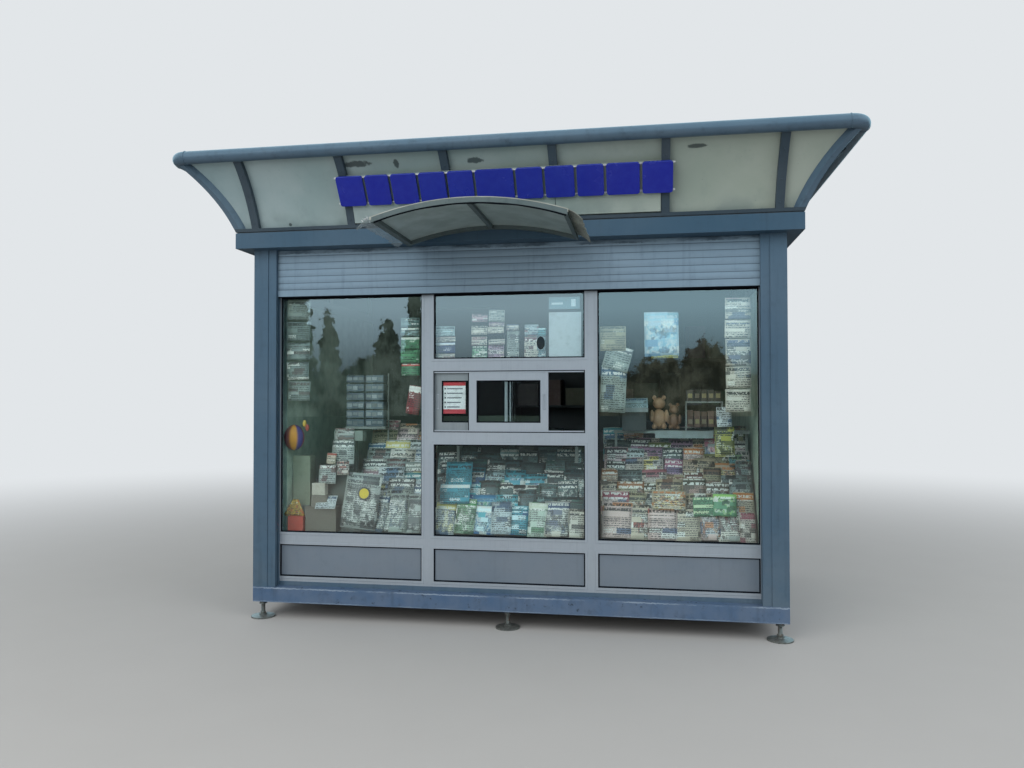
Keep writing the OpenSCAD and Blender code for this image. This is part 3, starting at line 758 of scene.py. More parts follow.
@dataclass(frozen=True)
class Opal(Finish):
    """Milky sheets that turn from bluish at the left to greenish at the right, with grime and blots."""

    colour: Rgb
    right: Rgb
    foot: Rgb
    blots: tuple[tuple[float, float, float, float], ...] = ()
    opacity: float = 1.0

    def draw(self, g: Coat) -> None:
        """Mixes the sheet's two colours, then the grime at its foot, its runs, specks and blots."""
        where = g.where
        across, _, z = g.parts(where)
        cloud = g.step(g.noise(where, 2.3, 4.0, 0.55), 0.3, 0.7)
        base = g.mix(g.step(across, -1.6, 1.4, False), linear(self.colour), linear(self.right))
        base = g.mix(g.product(cloud, 0.1), base, WHITE)
        low = g.product(g.rest(g.step(z, 2.32, 2.46)), g.step(g.noise(where, 7.0, 4.0), 0.35, 0.65), 0.55)
        base = g.mix(low, base, linear(self.foot))
        runs = g.product(g.step(g.noise(g.stretch(where, (1, 1, 0.12)), 16.0, 4.0, 0.6), 0.52, 0.72), 0.12)
        base = g.mix(runs, base, linear(self.foot))
        specks = g.step(g.noise(where, 60.0, 4.0, 0.7), 0.68, 0.74)
        base = g.mix(g.product(specks, 0.5), base, linear((60, 66, 62)))
        for x, level, half_w, half_h in self.blots:
            mask = g.place(STAIN, Vector=where, X=x, Z=level, Half_Width=half_w,
                           Half_Height=half_h).outputs["Mask"]
            base = g.mix(g.product(mask, 0.85), base, linear((50, 62, 64)))
        g.give(Base_Color=base, Roughness=g.plus(0.36, g.product(low, 0.3)), Alpha=self.opacity,
               Normal=g.bump(g.noise(where, 5.0, 2.0), 0.12, 0.004))


@dataclass(frozen=True)
class Glazing(Finish):
    """Window glass: a coat on the face that is looked at mirrors the surroundings, and light gets in."""

    tint: Rgb
    coat_ior: float = 2.4
    shade: float = 0.12

    def draw(self, g: Coat) -> None:
        """Gives clear glass its coat on the near face, and lets the lamps' light through."""
        facing = g.node("ShaderNodeNewGeometry").outputs["Backfacing"]
        lamp_light = g.node("ShaderNodeLightPath").outputs["Is Shadow Ray"]
        g.give(Base_Color=linear(self.tint), Transmission_Weight=1.0, IOR=1.02, Roughness=0.0,
               Coat_IOR=self.coat_ior, Coat_Roughness=0.0, Coat_Weight=g.rest(facing),
               Alpha=g.rest(g.product(lamp_light, 1.0 - self.shade)),
               Coat_Normal=g.bump(g.noise(g.where, 1.1, 1.0), 0.06, 0.004))


@dataclass(frozen=True)
class Plain(Finish):
    """A moulded, rubber, board or roofing finish with grain and scuffs."""

    colour: Rgb
    other: Rgb
    roughness: float = 0.7
    grain: float = 60.0
    long_grain: bool = False
    bump: float = 0.3
    gloss: float = 0.5

    def draw(self, g: Coat) -> None:
        """Mixes the two colours by grain and scuffs."""
        way = g.stretch(g.where, (0.06, 1, 1)) if self.long_grain else g.where
        grain = g.noise(way, self.grain, 5.0, 0.6)
        scuffs = g.step(g.noise(g.where, 6.0, 4.0, 0.6), 0.35, 0.75)
        mask = g.plus(g.product(g.step(grain, 0.35, 0.7), 0.6), g.product(scuffs, 0.4))
        g.give(Base_Color=g.mix(mask, linear(self.colour), linear(self.other)),
               Roughness=g.plus(self.roughness - 0.1, g.product(scuffs, 0.2), clamp=True),
               Specular_IOR_Level=self.gloss, Normal=g.bump(grain, self.bump, 0.001))


@dataclass(frozen=True)
class Galvanised(Finish):
    """Hot dipped steel: grey flakes of different brightness, with rust breaking through."""

    def draw(self, g: Coat) -> None:
        """Lays flakes of zinc, then rust, most of it on the spindles, and dirt."""
        where = g.where
        cells = g.fill(g.node("ShaderNodeTexVoronoi"), Vector=where, Scale=90.0)
        flake = g.parts(cells.outputs["Color"])[0]
        base = g.mix(flake, linear((88, 90, 88)), linear((124, 126, 122)))
        rough = g.noise(where, 38.0, 7.0, 0.7)
        stem = g.band(g.parts(where)[2], 0.02, 0.1, 0.004)
        edge = g.less(0.6, g.product(stem, 0.06))
        rust = g.product(g.step(rough, edge, g.plus(edge, 0.08)), 0.7)
        rusty = g.mix(g.noise(where, 120.0, 3.0), linear((92, 58, 38)), linear((134, 92, 60)))
        dirt = g.product(g.step(g.noise(where, 14.0, 4.0), 0.45, 0.75), 0.5)
        g.give(Base_Color=g.mix(dirt, g.mix(rust, base, rusty), linear((80, 78, 72))),
               Roughness=g.plus(0.45, g.product(rust, 0.4)), Metallic=0.35,
               Normal=g.bump(rough, 0.35, 0.001))


@dataclass(frozen=True)
class Printed(Finish):
    """Magazine and newspaper covers: a sheet's three colours come from its own attributes.

    The sheet is split into rows of blocks by rounding its V and then its U down, and a random draw
    for each block picks its colour. Rows of small marks and a band of large ones lie over them.
    """

    def draw(self, g: Coat) -> None:
        """Lays blocks of colour, a picture, small marks, a strip and a band of large marks."""
        u, v, _ = g.parts(g.node("ShaderNodeUVMap", uv_map="print").outputs[0])
        paper, ink, accent = (g.attribute(label) for label in ("paper", "ink", "accent"))
        seed, picture, head = g.parts(g.attribute("kind", "Vector"))
        wide, tall, _ = g.parts(g.attribute("span", "Vector"))
        far = g.product(seed, 97.0)
        dark, pale = linear((26, 30, 35)), linear((222, 222, 214))
        row = g.math("FLOOR", g.plus(g.product(v, 6.4), far))
        jitter = g.fill(g.node("ShaderNodeTexWhiteNoise", noise_dimensions="1D"), W=row).outputs["Value"]
        along = g.plus(g.product(u, g.plus(1.6, g.product(head, 1.6))), g.product(jitter, 5.0))
        cell = g.vector(g.math("FLOOR", along), row)
        draw = g.fill(g.node("ShaderNodeTexWhiteNoise", noise_dimensions="2D"), Vector=cell)
        pick, tone, _ = g.parts(draw.outputs["Color"])
        colour = g.mix(g.product(tone, 0.35), paper, dark)
        for low, high, other in ((0.56, 0.68, ink), (0.68, 0.78, accent), (0.78, 0.86, dark),
                                 (0.86, 1.01, pale)):
            block = g.product(g.band(pick, low, high, 0.001), g.step(picture, low - 0.3, low - 0.29), 0.8)
            colour = g.mix(block, colour, other)
        spot = g.vector(u, v, far)
        shapes, tones = g.noise(spot, 4.5, 2.0), g.noise(spot, 11.0, 3.0)
        art = g.mix(g.step(shapes, 0.44, 0.52), g.mix(g.step(tones, 0.4, 0.6), ink, dark),
                    g.mix(g.step(tones, 0.35, 0.65), accent, pale))
        panel = g.product(g.band(u, 0.06, 0.94), g.band(v, 0.07, 0.74), g.step(picture, 0.74, 0.75),
                          g.step(tone, 0.28, 0.29))
        colour = g.mix(g.product(panel, 0.62), colour, art)
        rows = g.place(PRINT_ROWS, U=u, V=v, Rows=g.product(tall, 78.0), Marks=g.product(wide, 170.0),
                       Seed=far, Cover=0.66)
        text = g.product(rows.outputs["Mask"], g.band(u, 0.05, 0.95), g.band(v, 0.03, 0.86),
                         g.step(tone, 0.12, 0.13), g.rest(g.step(picture, 0.97, 0.98)), 0.85)
        colour = g.mix(text, colour, g.mix(g.band(pick, 0.78, 0.86, 0.001), dark, pale))
        banner = g.step(head, 0.68, 0.69)
        strip = g.product(g.band(v, 0.8, 0.975), banner)
        colour = g.mix(strip, colour, g.mix(g.step(seed, 0.5, 0.51), ink, accent))
        large = g.place(PRINT_ROWS, U=u, V=g.less(v, 0.01), Marks=g.product(wide, 110.0),
                        Rows=g.product(tall, 34.0), Seed=far, Cover=0.74)
        title = g.product(large.outputs["Mask"], g.band(v, 0.76, 0.98), g.band(u, 0.04, 0.96))
        title_ink = g.mix(banner, g.mix(g.step(seed, 0.6, 0.61), dark, ink), pale)
        colour = g.mix(g.product(title, 0.9), colour, title_ink)
        wear = g.product(g.noise(g.where, 25.0, 4.0), 0.14)
        g.give(Base_Color=g.mix(wear, colour, linear((120, 124, 116))),
               Roughness=g.less(0.62, g.product(g.step(picture, 0.45, 0.5), 0.25)),
               Normal=g.bump(g.noise(g.where, 18.0, 2.0), 0.25, 0.002))


@dataclass(frozen=True)
class Tinted(Finish):
    """Small goods: the colour comes from the piece's own attribute, with scuffs on it."""

    def draw(self, g: Coat) -> None:
        """Lays scuffs over the goods' own colours."""
        scuffs = g.product(g.step(g.noise(g.where, 30.0, 5.0, 0.65), 0.45, 0.8), 0.35)
        g.give(Base_Color=g.mix(scuffs, g.attribute("tint"), linear((92, 88, 80))),
               Roughness=g.plus(0.5, g.product(scuffs, 0.3)),
               Normal=g.bump(g.noise(g.where, 90.0, 3.0), 0.2, 0.001))


class Finishes:
    """Every finish of the kiosk, made once."""

    def __init__(self) -> None:
        """Builds the materials."""
        self.blue = Paint(
            "blue_paint", (70, 95, 115), streaks=0.28, grime=0.18, dust=0.1, chips=0.1).build()
        self.blue_beam = Paint(
            "blue_paint_of_beams", (74, 100, 131), streaks=0.25, grime=0.3, dust=0.12, chips=0.5,
            chip=(52, 62, 72), chip_scale=24.0, worn=((0.1835, 0.003), (0.104, 0.0012))).build()
        # A darker copy of the blue paint: painted shade on the cornice.
        self.blue_cornice_shaded = Paint(
            "blue_paint_shaded_on_cornice", (55, 83, 104), streaks=0.28, grime=0.18, chips=0.1).build()
        self.blue_rim = Paint(
            "blue_paint_of_rim", (74, 98, 117), roughness=0.34, gloss=0.5, streaks=0.15, grime=0.45,
            chips=0.25, chip=(120, 128, 130)).build()
        # A darker copy of the blue paint: painted shade on the ribs, their sills and screws.
        self.blue_rib_shaded = Paint(
            "blue_paint_shaded_on_ribs", (56, 72, 84), streaks=0.25, grime=0.3, chips=0.15).build()
        self.frames = Paint(
            "anodised_frames", (154, 165, 176), roughness=0.42, metallic=0.15, streaks=0.12, grime=0.1,
            dust=0.08, brushed=0.5, dirt=(70, 78, 84), bump=0.1).build()
        # A darker copy of the anodised finish: painted shade on the rear sash behind the glass.
        self.shaded_rear_sash = Paint(
            "anodised_shaded_rear_sash", (122, 134, 140), roughness=0.42, metallic=0.15, grime=0.2, brushed=0.5,
            dirt=(70, 78, 84), bump=0.1).build()
        # The dark band at the slats' top is painted shadow under the cornice.
        self.slats = Paint(
            "slat_paint", (124, 148, 166), streaks=0.22, grime=0.15, dirt=(52, 66, 80), bump=0.1,
            groove_pitch=0.041, groove_from=1.977, worn=((2.206, 0.011),),
            wear_and_shade_colour=(46, 62, 76)).build()
        self.kick = Paint(
            "kick_panel_paint", (110, 123, 136), roughness=0.48, streaks=0.1, grime=0.1, dust=0.1,
            dirt=(70, 78, 86), bump=0.08).build()
        self.awning = Paint(
            "awning_paint", (84, 98, 100), roughness=0.55, streaks=0.2, grime=0.4, chips=0.35,
            chip=(58, 68, 68), dirt=(46, 58, 60), chip_scale=30.0).build()
        self.steel = Paint(
            "door_steel", (146, 148, 150), roughness=0.32, metallic=0.7, streaks=0.1, grime=0.2,
            brushed=0.6).build()
        blots = (
            (-0.81, 2.638, 0.085, 0.014), (-0.58, 2.632, 0.016, 0.022), (-0.13, 2.628, 0.048, 0.014),
            (1.06, 2.64, 0.05, 0.01), (-1.29, 2.352, 0.012, 0.01))
        self.opal = Opal("opal_sheet", (133, 157, 162), (146, 159, 148), (104, 121, 121), blots).build()
        self.smoked = Opal("awning_sheet", (148, 168, 168), (142, 156, 152), (120, 134, 132)).build()
        self.cream = Opal("cream_sheet", (158, 163, 155), (152, 155, 145), (120, 120, 108)).build()
        self.film = Opal(
            "torn_film", (172, 186, 190), (172, 186, 190), (150, 160, 160), opacity=0.32).build()
        self.glass = Glazing("window_glass", (236, 243, 242)).build()
        self.mossy = Plain("mossy_sheet", (96, 102, 96), (186, 190, 180), 0.9, 130.0, bump=0.8).build()
        self.rubber = Plain("black_rubber", (4, 8, 15), (11, 16, 24), 0.65, 90.0, gloss=0.1).build()
        self.roofing = Plain("roof_felt", (58, 62, 66), (92, 94, 92), 0.92, 240.0, bump=0.7).build()
        self.floor_board = Plain(
            "floor_board", (66, 58, 50), (88, 78, 66), 0.7, 26.0, long_grain=True).build()
        self.ceiling = Plain("ceiling_board", (120, 124, 124), (104, 108, 108), 0.7, 70.0).build()
        self.boards = Plain("stand_board", (132, 138, 134), (112, 117, 113), 0.5).build()
        # Near black boards of the back shelves: painted shade deep in the room.
        self.lining = Plain("shaded_lining_board", (34, 38, 40), (44, 48, 48), 0.8, 50.0).build()
        self.side_board = Plain("side_board", (168, 184, 168), (140, 158, 142), 0.7, 12.0).build()
        self.white = Plain("white_enamel", (214, 218, 220), (186, 190, 190), 0.35, bump=0.1).build()
        self.tile = Plain("blue_enamel", (27, 38, 148), (34, 48, 156), 0.22, 30.0, bump=0.05).build()
        self.galvanised = Galvanised("galvanised_steel").build()
        self.printed = Printed("printed_paper").build()
        self.goods = Tinted("small_goods").build()

    def dress(self) -> None:
        """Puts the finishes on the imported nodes."""
        by_finish = {
            self.blue: "sill_strips corner_posts shutter_guides door_frame back_door",
            self.blue_cornice_shaded: "cornice_long cornice_side",
            self.blue_beam: "base_beams_long base_beams_side",
            self.blue_rim: "rim_tubes rim_bends hip_ribs",
            self.blue_rib_shaded: "flare_sills flare_ribs",
            self.frames: "front_stiles front_rails hatch_tracks hatch_sash_right side_stiles side_rails",
            self.shaded_rear_sash: "hatch_sash_left",
            self.slats: "shutter_curtain shutter_end_slat shutter_box shutter_roll",
            self.kick: "kick_panels_front kick_panels_side fascia_panels_side "
                      "back_wall_beside_door back_wall_over_door",
            self.awning: "awning_arches awning_ribs",
            self.opal: "flare_panels_long flare_panels_side",
            self.smoked: "awning_sheet",
            self.glass: "glass_front glass_side hatch_glass",
            self.roofing: "roof_deck",
            self.floor_board: "floor_panel",
            self.ceiling: "ceiling_panel",
            self.boards: "display_stands",
            self.galvanised: "foot_plates foot_spindles",
            self.steel: "door_furniture",
        }
        for material, names in by_finish.items():
            for name in names.split():
                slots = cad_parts[name].data.materials
                slots.clear()
                slots.append(material)
        LOG.info("dressed %d packed nodes", len(" ".join(by_finish.values()).split()))


@dataclass
class Assembly:
    """Pieces that belong together, made by the class's own steps in their order."""

    finishes: Finishes
    steps: ClassVar[tuple[Callable, ...]] = ()

    def build(self) -> None:
        """Makes the pieces."""
        for step in self.steps:
            step(self)


# Window trim

@dataclass
class WindowTrim(Assembly):
    """Rubber gaskets and snap-in beads round the panes and panels of three walls."""

    gasket: float = 0.009
    bead: float = 0.013
    bead_proud: float = 0.0028

    def rects(self, wall: Wall, kick: bool) -> Array:
        """Middle x, middle z, half width and half height of a wall's openings.

        Args:
            wall: the wall.
            kick: whether the kick and fascia panels are wanted instead of the panes.

        Returns:
            N by 4 values.
        """
        p = PLAN
        if wall is Wall.FRONT:
            centres, width = (-p.bay_x, 0.0, p.bay_x), p.bay_w
        else:
            centres, width = (-p.side_bay_x, p.side_bay_x), p.side_bay_w
        spans = [(x, p.z_kick, p.z_kick_top) for x in centres]
        if not kick and wall is Wall.FRONT:
            spans = [(-p.bay_x, p.z_glass, p.z_glass_top), (p.bay_x, p.z_glass, p.z_glass_top),
                     (0.0, p.z_glass, p.z_below_hatch), (0.0, p.z_above_hatch, p.z_glass_top)]
        elif not kick:
            spans = [(x, p.z_glass, p.z_glass_top) for x in centres]
        elif wall is not Wall.FRONT:
            spans += [(x, p.z_fascia, p.z_cornice) for x in centres]
        return np.array([[x, (low + high) / 2, width / 2, (high - low) / 2] for x, low, high in spans])

    def build(self) -> None:
        """Makes the gaskets and the beads of the front and of the sides."""
        p = PLAN
        for label, walls in (("front", (Wall.FRONT,)), ("side", (Wall.RIGHT, Wall.LEFT))):
            gaskets, beads = Patchwork(), Patchwork()
            for wall, kick in ((wall, kick) for wall in walls for kick in (False, True)):
                face = p.glass_y - (p.kick_t if kick else p.glass_t) / 2
                lip, top = face - 0.007, p.frame_face - self.bead_proud
                rects = self.rects(wall, kick)
                gaskets.lay(wall, *mitred_rings(rects, [
                    [0, face], [self.gasket, face], [self.gasket, lip + 0.003], [self.gasket * 0.6, lip],
                    [0, lip]]))
                beads.lay(wall, *mitred_rings(rects, [
                    [-self.bead, p.frame_face], [-self.bead + 0.0015, top], [0.0015, top], [0.0015, lip],
                    [0, lip], [0, p.frame_face]]))
            gaskets.build(f"{label}_gaskets", self.finishes.rubber)
            beads.build(f"{label}_glazing_beads", self.finishes.frames)


# Hatch

@dataclass
class HatchTrim(Assembly):
    """Finger pulls, gaskets and brush seals of the hatch's sashes; the black seals also serve as painted
    shadow lines at the edges.
    """

    front_sash_x: float = 0.0008
    rear_sash_x: float = -0.2128
    sash_w: float = 0.4677
    z_low: float = 1.132
    sash_h: float = 0.337
    bar: float = 0.045
    front_face: float = 0.0675
    rear_face: float = 0.0865
    glass_inset: float = 0.006

    def pulls(self) -> None:
        """A finger pull on each sash's leading bar: a low ring with mitred corners round a shallow hollow."""
        pull = Patchwork()
        for x, y in ((self.front_sash_x + self.sash_w / 2 - 0.022, self.front_face),
                     (self.rear_sash_x - self.sash_w / 2 + 0.022, self.rear_face)):
            pull.lay(Wall.FRONT, *mitred_rings(
                [[x, self.z_low + self.sash_h / 2, 0.009, 0.045]],
                [[0, y], [0.0015, y - 0.0035], [0.0045, y - 0.0035], [0.006, y]]))
        pull.build("sash_pulls", self.finishes.frames)

    def seals(self) -> None:
        """Gaskets round the glass of both sashes."""
        seal = Patchwork()
        for x, face in ((self.front_sash_x, self.front_face), (self.rear_sash_x, self.rear_face)):
            y = face + self.glass_inset
            seal.lay(Wall.FRONT, *mitred_rings(
                [[x, self.z_low + self.sash_h / 2, self.sash_w / 2 - self.bar, self.sash_h / 2 - self.bar]],
                [[0, y], [0.007, y], [0.007, y - 0.003], [0.004, y - 0.005], [0, y - 0.005]]))
        seal.build("sash_gaskets", self.finishes.rubber)

    def seals_and_shadow_lines(self) -> None:
        """Dark brush seals round the hatch's opening and where the two sashes meet, black so that they also
        paint the shadow lines at these edges.
        """
        brush, front, back = Patchwork(), PLAN.frame_face - 0.001, PLAN.frame_face + 0.002
        middle, top = self.z_low + self.sash_h / 2, self.z_low + self.sash_h
        brush.lay(Wall.FRONT, *mitred_rings([[0.0, middle, PLAN.bay_w / 2, self.sash_h / 2 + 0.012]],
                                            [[0, back], [0, front], [0.005, front], [0.005, back]]))
        left, right = self.front_sash_x - self.sash_w / 2, self.rear_sash_x + self.sash_w / 2
        low, high = self.z_low + self.bar, top - self.bar
        # Black strips at the sashes' edges: seals, and painted shadow lines where the sashes overlap.
        brush.lay(Wall.FRONT, *box_cells(
            [[left - 0.005, 0.067, self.z_low], [right - 0.027, self.rear_face - 0.002, low],
             [right - 0.007, self.rear_face - 0.002, low]],
            [[left, 0.076, top], [right - 0.016, self.rear_face, high], [right, self.rear_face, high]]))
        brush.build("hatch_seals_and_shadow_lines", self.finishes.rubber)

    steps = (pulls, seals, seals_and_shadow_lines)


# Shutter

@dataclass
class ShutterTrim(Assembly):
    """Rubber foot of the roller shutter."""

    z_foot: float = 1.937
    curtain_y: float = 0.035
    half_w: float = 1.41

    def build(self) -> None:
        """Makes the rubber strip under the end slat."""
        foot = Patchwork()
        foot.lay(Wall.FRONT, *box_cells([-self.half_w, self.curtain_y - 0.005, self.z_foot - 0.007],
                                        [self.half_w, self.curtain_y + 0.005, self.z_foot]))
        bevel(foot.build("shutter_foot_rubber", self.finishes.rubber), 0.002)


# Canopy, sign and roof

@dataclass
class SignBand(Assembly):
    """Blank blue tiles on two white rails, over pale sheets that cover the middle ribs."""

    left: float = -0.935
    right: float = 0.938
    joints: tuple[float, ...] = (-0.772, -0.621, -0.46, -0.295, -0.138, 0.088, 0.247, 0.42, 0.579, 0.77)
    gap: float = 0.014
    z_low: float = 2.442
    z_high: float = 2.566
    rail_r: float = 0.0055

    def rail_places(self) -> Array:
        """The two rails' middles as distance inwards and level, in the front wall's axes."""
        levels = np.array([self.z_low, self.z_high])
        return np.stack([flare_y(levels, PLAN.flare_r - 0.004 - self.rail_r), levels], -1)

    def rails(self) -> None:
        """Two round rails along the front."""
        work = Patchwork()
        x = np.linspace(self.left - 0.012, self.right + 0.012, 3)
        for y, z in self.rail_places():
            work.add(*swept_tube(Wall.FRONT.place(points_at(x, y, z)), self.rail_r, 10))
        work.build("sign_rails", self.finishes.white, smooth=True)

    def plates(self) -> None:
        """The blank tiles: thin plates with rounded corners, tilted as the rails are.

        A tile's outline is four quarter circles at its corners. It lies in the plane of the rails at
        three depths, and is a little smaller at the last one, so that the front edge is rounded.
        """
        (y0, z0), (y1, z1) = self.rail_places()
        edges = np.array([self.left - self.gap / 2, *self.joints, self.right + self.gap / 2])
        slope = np.array([0.0, y1 - y0, z1 - z0])
        long = np.linalg.norm(slope)
        up = slope / long
        out = np.array([0.0, -up[2], up[1]])
        corner = 0.014
        turn = np.linspace(0, np.pi / 2, 4)
        quarter = np.stack([np.cos(turn), np.sin(turn)], -1) * corner
        signs = np.array([[1, 1], [-1, 1], [-1, -1], [1, -1]], float)
        work = Patchwork()
        for start, stop in zip(edges[:-1], edges[1:]):
            x, half_w, half_h = (start + stop) / 2, (stop - start - self.gap) / 2, long / 2 + 0.012
            middle = np.array([x, (y0 + y1) / 2, (z0 + z1) / 2])
            outline = np.concatenate([sign * (np.array([half_w, half_h]) - corner)
                                      + sign * (quarter if k % 2 == 0 else quarter[::-1])
                                      for k, sign in enumerate(signs)])
            layers = []
            for depth, shrink in ((0.005, 0.0), (0.017, 0.0), (0.019, 0.002)):
                flat = outline * (1 - shrink / half_w)
                layers.append(middle + flat[:, :1] * np.array([1.0, 0, 0]) + flat[:, 1:] * up + depth * out)
            work.lay(Wall.FRONT, *capped(np.stack(layers), layers[0].mean(0), layers[-1].mean(0)))
        work.build("sign_tiles", self.finishes.tile)

    def backing(self) -> None:
        """Three pale sheets on the faces of the middle ribs, curved as the canopy is."""
        work, steps = Patchwork(), 12
        z = np.linspace(PLAN.z_deck + 0.03, self.z_high + 0.012, steps)
        caps = np.array([[0, 1, 2, 3], 4 * steps - 1 - np.arange(4)])
        for x0, x1 in ((-0.874, -0.302), (-0.298, 0.298), (0.302, 0.874)):
            sheet = [points_at(x, flare_y(z, PLAN.flare_r - depth), z)
                     for x, depth in ((x0, 0.0), (x1, 0.0), (x1, 0.004), (x0, 0.004))]
            work.lay(Wall.FRONT, np.stack(sheet, 1), np.concatenate([grid_faces(steps, 4), caps]))
        work.build("sign_backing_sheets", self.finishes.opal)

    steps = (rails, plates, backing)


@dataclass
class CanopyTrim(Assembly):
    """Weld beads of the rim, screws of the ribs and the roof's felt laps."""

    weld_r: float = 0.0022
    weld_half: float = 0.003

    def welds(self) -> None:
        """A bead round the rim tube at each end of its bends.

        A point lies R + r·cos s away from the tube's middle line and h·sin s along it.
        """
        p = PLAN
        work = Patchwork()
        t, s = around(28)[:, None], around(6)[None]
        radius = p.rim_r + 0.0006 + self.weld_r * np.cos(s)
        for wall in Wall:
            for side in (-1, 1):
                x = side * (wall.length / 2 + p.rim_out - p.bend_r)
                work.lay(wall, points_at(x + self.weld_half * np.sin(s), -p.rim_out + radius * np.cos(t),
                                         p.rim_z + radius * np.sin(t)), grid_faces(28, 6, True))
        work.build("rim_weld_beads", self.finishes.blue_rim, smooth=True)

    def screws(self) -> None:
        """Screw heads on the ribs' faces, three to a rib, square to the curve."""
        work = Patchwork()
        for wall in Wall:
            end, ribs = wall.length / 2 - 0.05, 6 if wall.value % 2 == 0 else 4
            along = np.linspace(-end, end, ribs)
            for z in (2.36, 2.47, 2.6):
                here, there = (wall.place(points_at(along, flare_y(z, PLAN.flare_r - depth), z))
                               for depth in (0.0, 0.1))
                work.add(*domes(here, there - here, 0.005))
        work.build("rib_screws", self.finishes.blue_rib_shaded, smooth=True)

    def roof_laps(self) -> None:
        """Lapped edges of the roofing felt across the roof."""
        work = Patchwork()
        x, top, over = np.array([-1.02, 0.0, 1.02]), PLAN.z_deck + 0.006, 0.06
        work.add(*box_cells(points_at(x - 0.05, PLAN.y_front - over, top - 0.001),
                            points_at(x + 0.05, PLAN.y_front + PLAN.body_d + over, top + 0.003)))
        piece = work.build("roof_felt_laps", self.finishes.roofing)
        bevel(piece, 0.0015)

    steps = (welds, screws, roof_laps)


# Awning

@dataclass
class AwningTrim(Assembly):
    """The awning's gasket and screws, its cream cover and the torn ends of its sheet."""

    x: float = -0.065
    width: float = 0.98
    rise: float = 0.08
    z: float = 2.195
    y_front: float = -1.4926
    bar_h: float = 0.024
    bar_d: float = 0.022

    @property
    def radius(self) -> float:
        """Radius of the arch, from its width and rise."""
        return (self.width ** 2 / 4 + self.rise ** 2) / (2 * self.rise)

    def arch(self, x: Array, above: float) -> Array:
        """Level of the arch at a distance from its middle, with something added to its radius."""
        r = self.radius + above
        return self.z + self.rise - self.radius + np.sqrt(r ** 2 - x ** 2)

    def gasket(self) -> None:
        """Dark round strips along the front arch: at its foot, sagging a little, over it and on its face."""
        x = np.linspace(-self.width / 2 + 0.012, self.width / 2 - 0.006, 60)
        sag = 0.0014 * np.sin(x * 31.0) * np.sin(x * 9.0)
        work = Patchwork()
        for inwards, level, radius, sides in (
                (0.0052, self.arch(x, -0.003) + sag, 0.0042, 8),
                (self.bar_d + 0.004, self.arch(x, self.bar_h + 0.0015), 0.003, 6),
                (0.0024, self.arch(x, 0.0122), 0.0023, 6)):
            work.add(*swept_tube(points_at(self.x + x, self.y_front + inwards, level), radius, sides))
        work.build("awning_gaskets", self.finishes.rubber, smooth=True)

    def screws(self) -> None:
        """Screw heads along the sheet over each rib."""
        x = np.array([-self.width / 2 + 0.011, 0.0, self.width / 2 - 0.011])
        y = np.linspace(self.y_front + 0.06, self.y_front + 0.58, 5)
        x, y = (a.ravel() for a in np.meshgrid(x, y, indexing="ij"))
        tilt = x / self.radius
        work = Patchwork()
        work.add(*domes(points_at(x + self.x, y, self.arch(x, self.bar_h)),
                        points_at(tilt, 0.0, np.sqrt(1 - tilt ** 2)), 0.006))
        work.build("awning_screws", self.finishes.galvanised, smooth=True)

    def face_strip(self) -> None:
        """The cream cover that laps over the front arch's top: its section follows the arch."""
        x = np.linspace(-self.width / 2 - 0.01, self.width / 2 + 0.004, 50)[:, None]
        section = np.array([[0.0004, 0.0135], [0.0004, self.bar_h + 0.0045], [0.034, self.bar_h + 0.0062],
                            [0.034, self.bar_h + 0.005], [0.0018, self.bar_h + 0.0032], [0.0018, 0.0135]])
        work = Patchwork()
        work.add(points_at(self.x + x, self.y_front + section[:, 0], self.arch(x, section[:, 1])),
                 grid_faces(50, 6))
        work.build("awning_face_strip", self.finishes.cream)

    def flaps(self) -> None:
        """Loose ends of the sheet at both sides: they hang down past the bars and end in a ragged edge.

        Across the flap the sheet drops with the square of the distance from the bar, and the edge is
        moved in and out by seeded noise.
        """
        rng = np.random.default_rng(11)
        for name, side, reach, material in (("left", -1, 0.06, self.finishes.film),
                                            ("right", 1, 0.066, self.finishes.mossy)):
            rows, columns = 60, 7
            depth = np.linspace(0.002, 0.61, rows)[:, None]
            out = np.linspace(0.0, 1.0, columns)[None]
            noise = np.interp(np.linspace(0, 40, rows), np.arange(41), rng.normal(0, 0.0045, 41))[:, None]
            tear = 0.022 * np.exp(-((depth - 0.015) / 0.025) ** 2) if side < 0 else 0.006
            width = np.clip(reach + noise + tear * rng.normal(1, 0.3, (rows, 1)), 0.012, 0.085)
            x = side * (self.width / 2 - 0.004 + out * width)
            drop = 5.0 * (out * width) ** 2 + 0.3 * out * width
            z = self.arch(self.width / 2, self.bar_h + 0.003) - drop
            z += 0.0012 * rng.normal(0, 1, z.shape) * out
            work = Patchwork()
            work.add(points_at(self.x + x, self.y_front + depth, z),
                     grid_faces(rows, columns, wrap_columns=False))
            piece = work.build(f"awning_{name}_flap", material, smooth=True, closed=False)
            thicken(piece, 0.0016)

    def scraps(self) -> None:
        """Torn white scraps of film about the left front corner: small bent triangles, seeded."""
        rng = np.random.default_rng(23)
        count = 26
        centre = points_at(self.x - self.width / 2 - rng.uniform(0.0, 0.062, count),
                           self.y_front + rng.uniform(0.012, 0.08, count),
                           self.z + 0.022 + rng.uniform(-0.006, 0.02, count))
        arms = unit(rng.normal(0, 1, (count, 3, 3)))
        points = centre[:, None] + arms * rng.uniform(0.004, 0.012, (count, 3, 1))
        points[..., 1] = np.maximum(points[..., 1], self.y_front + 0.002)
        work = Patchwork()
        work.add(points, repeated(np.array([[0, 1, 2]]), count, 3))
        piece = work.build("awning_torn_scraps", self.finishes.white, closed=False)
        thicken(piece, 0.0012)

    steps = (gasket, screws, face_strip, flaps, scraps)


# Base

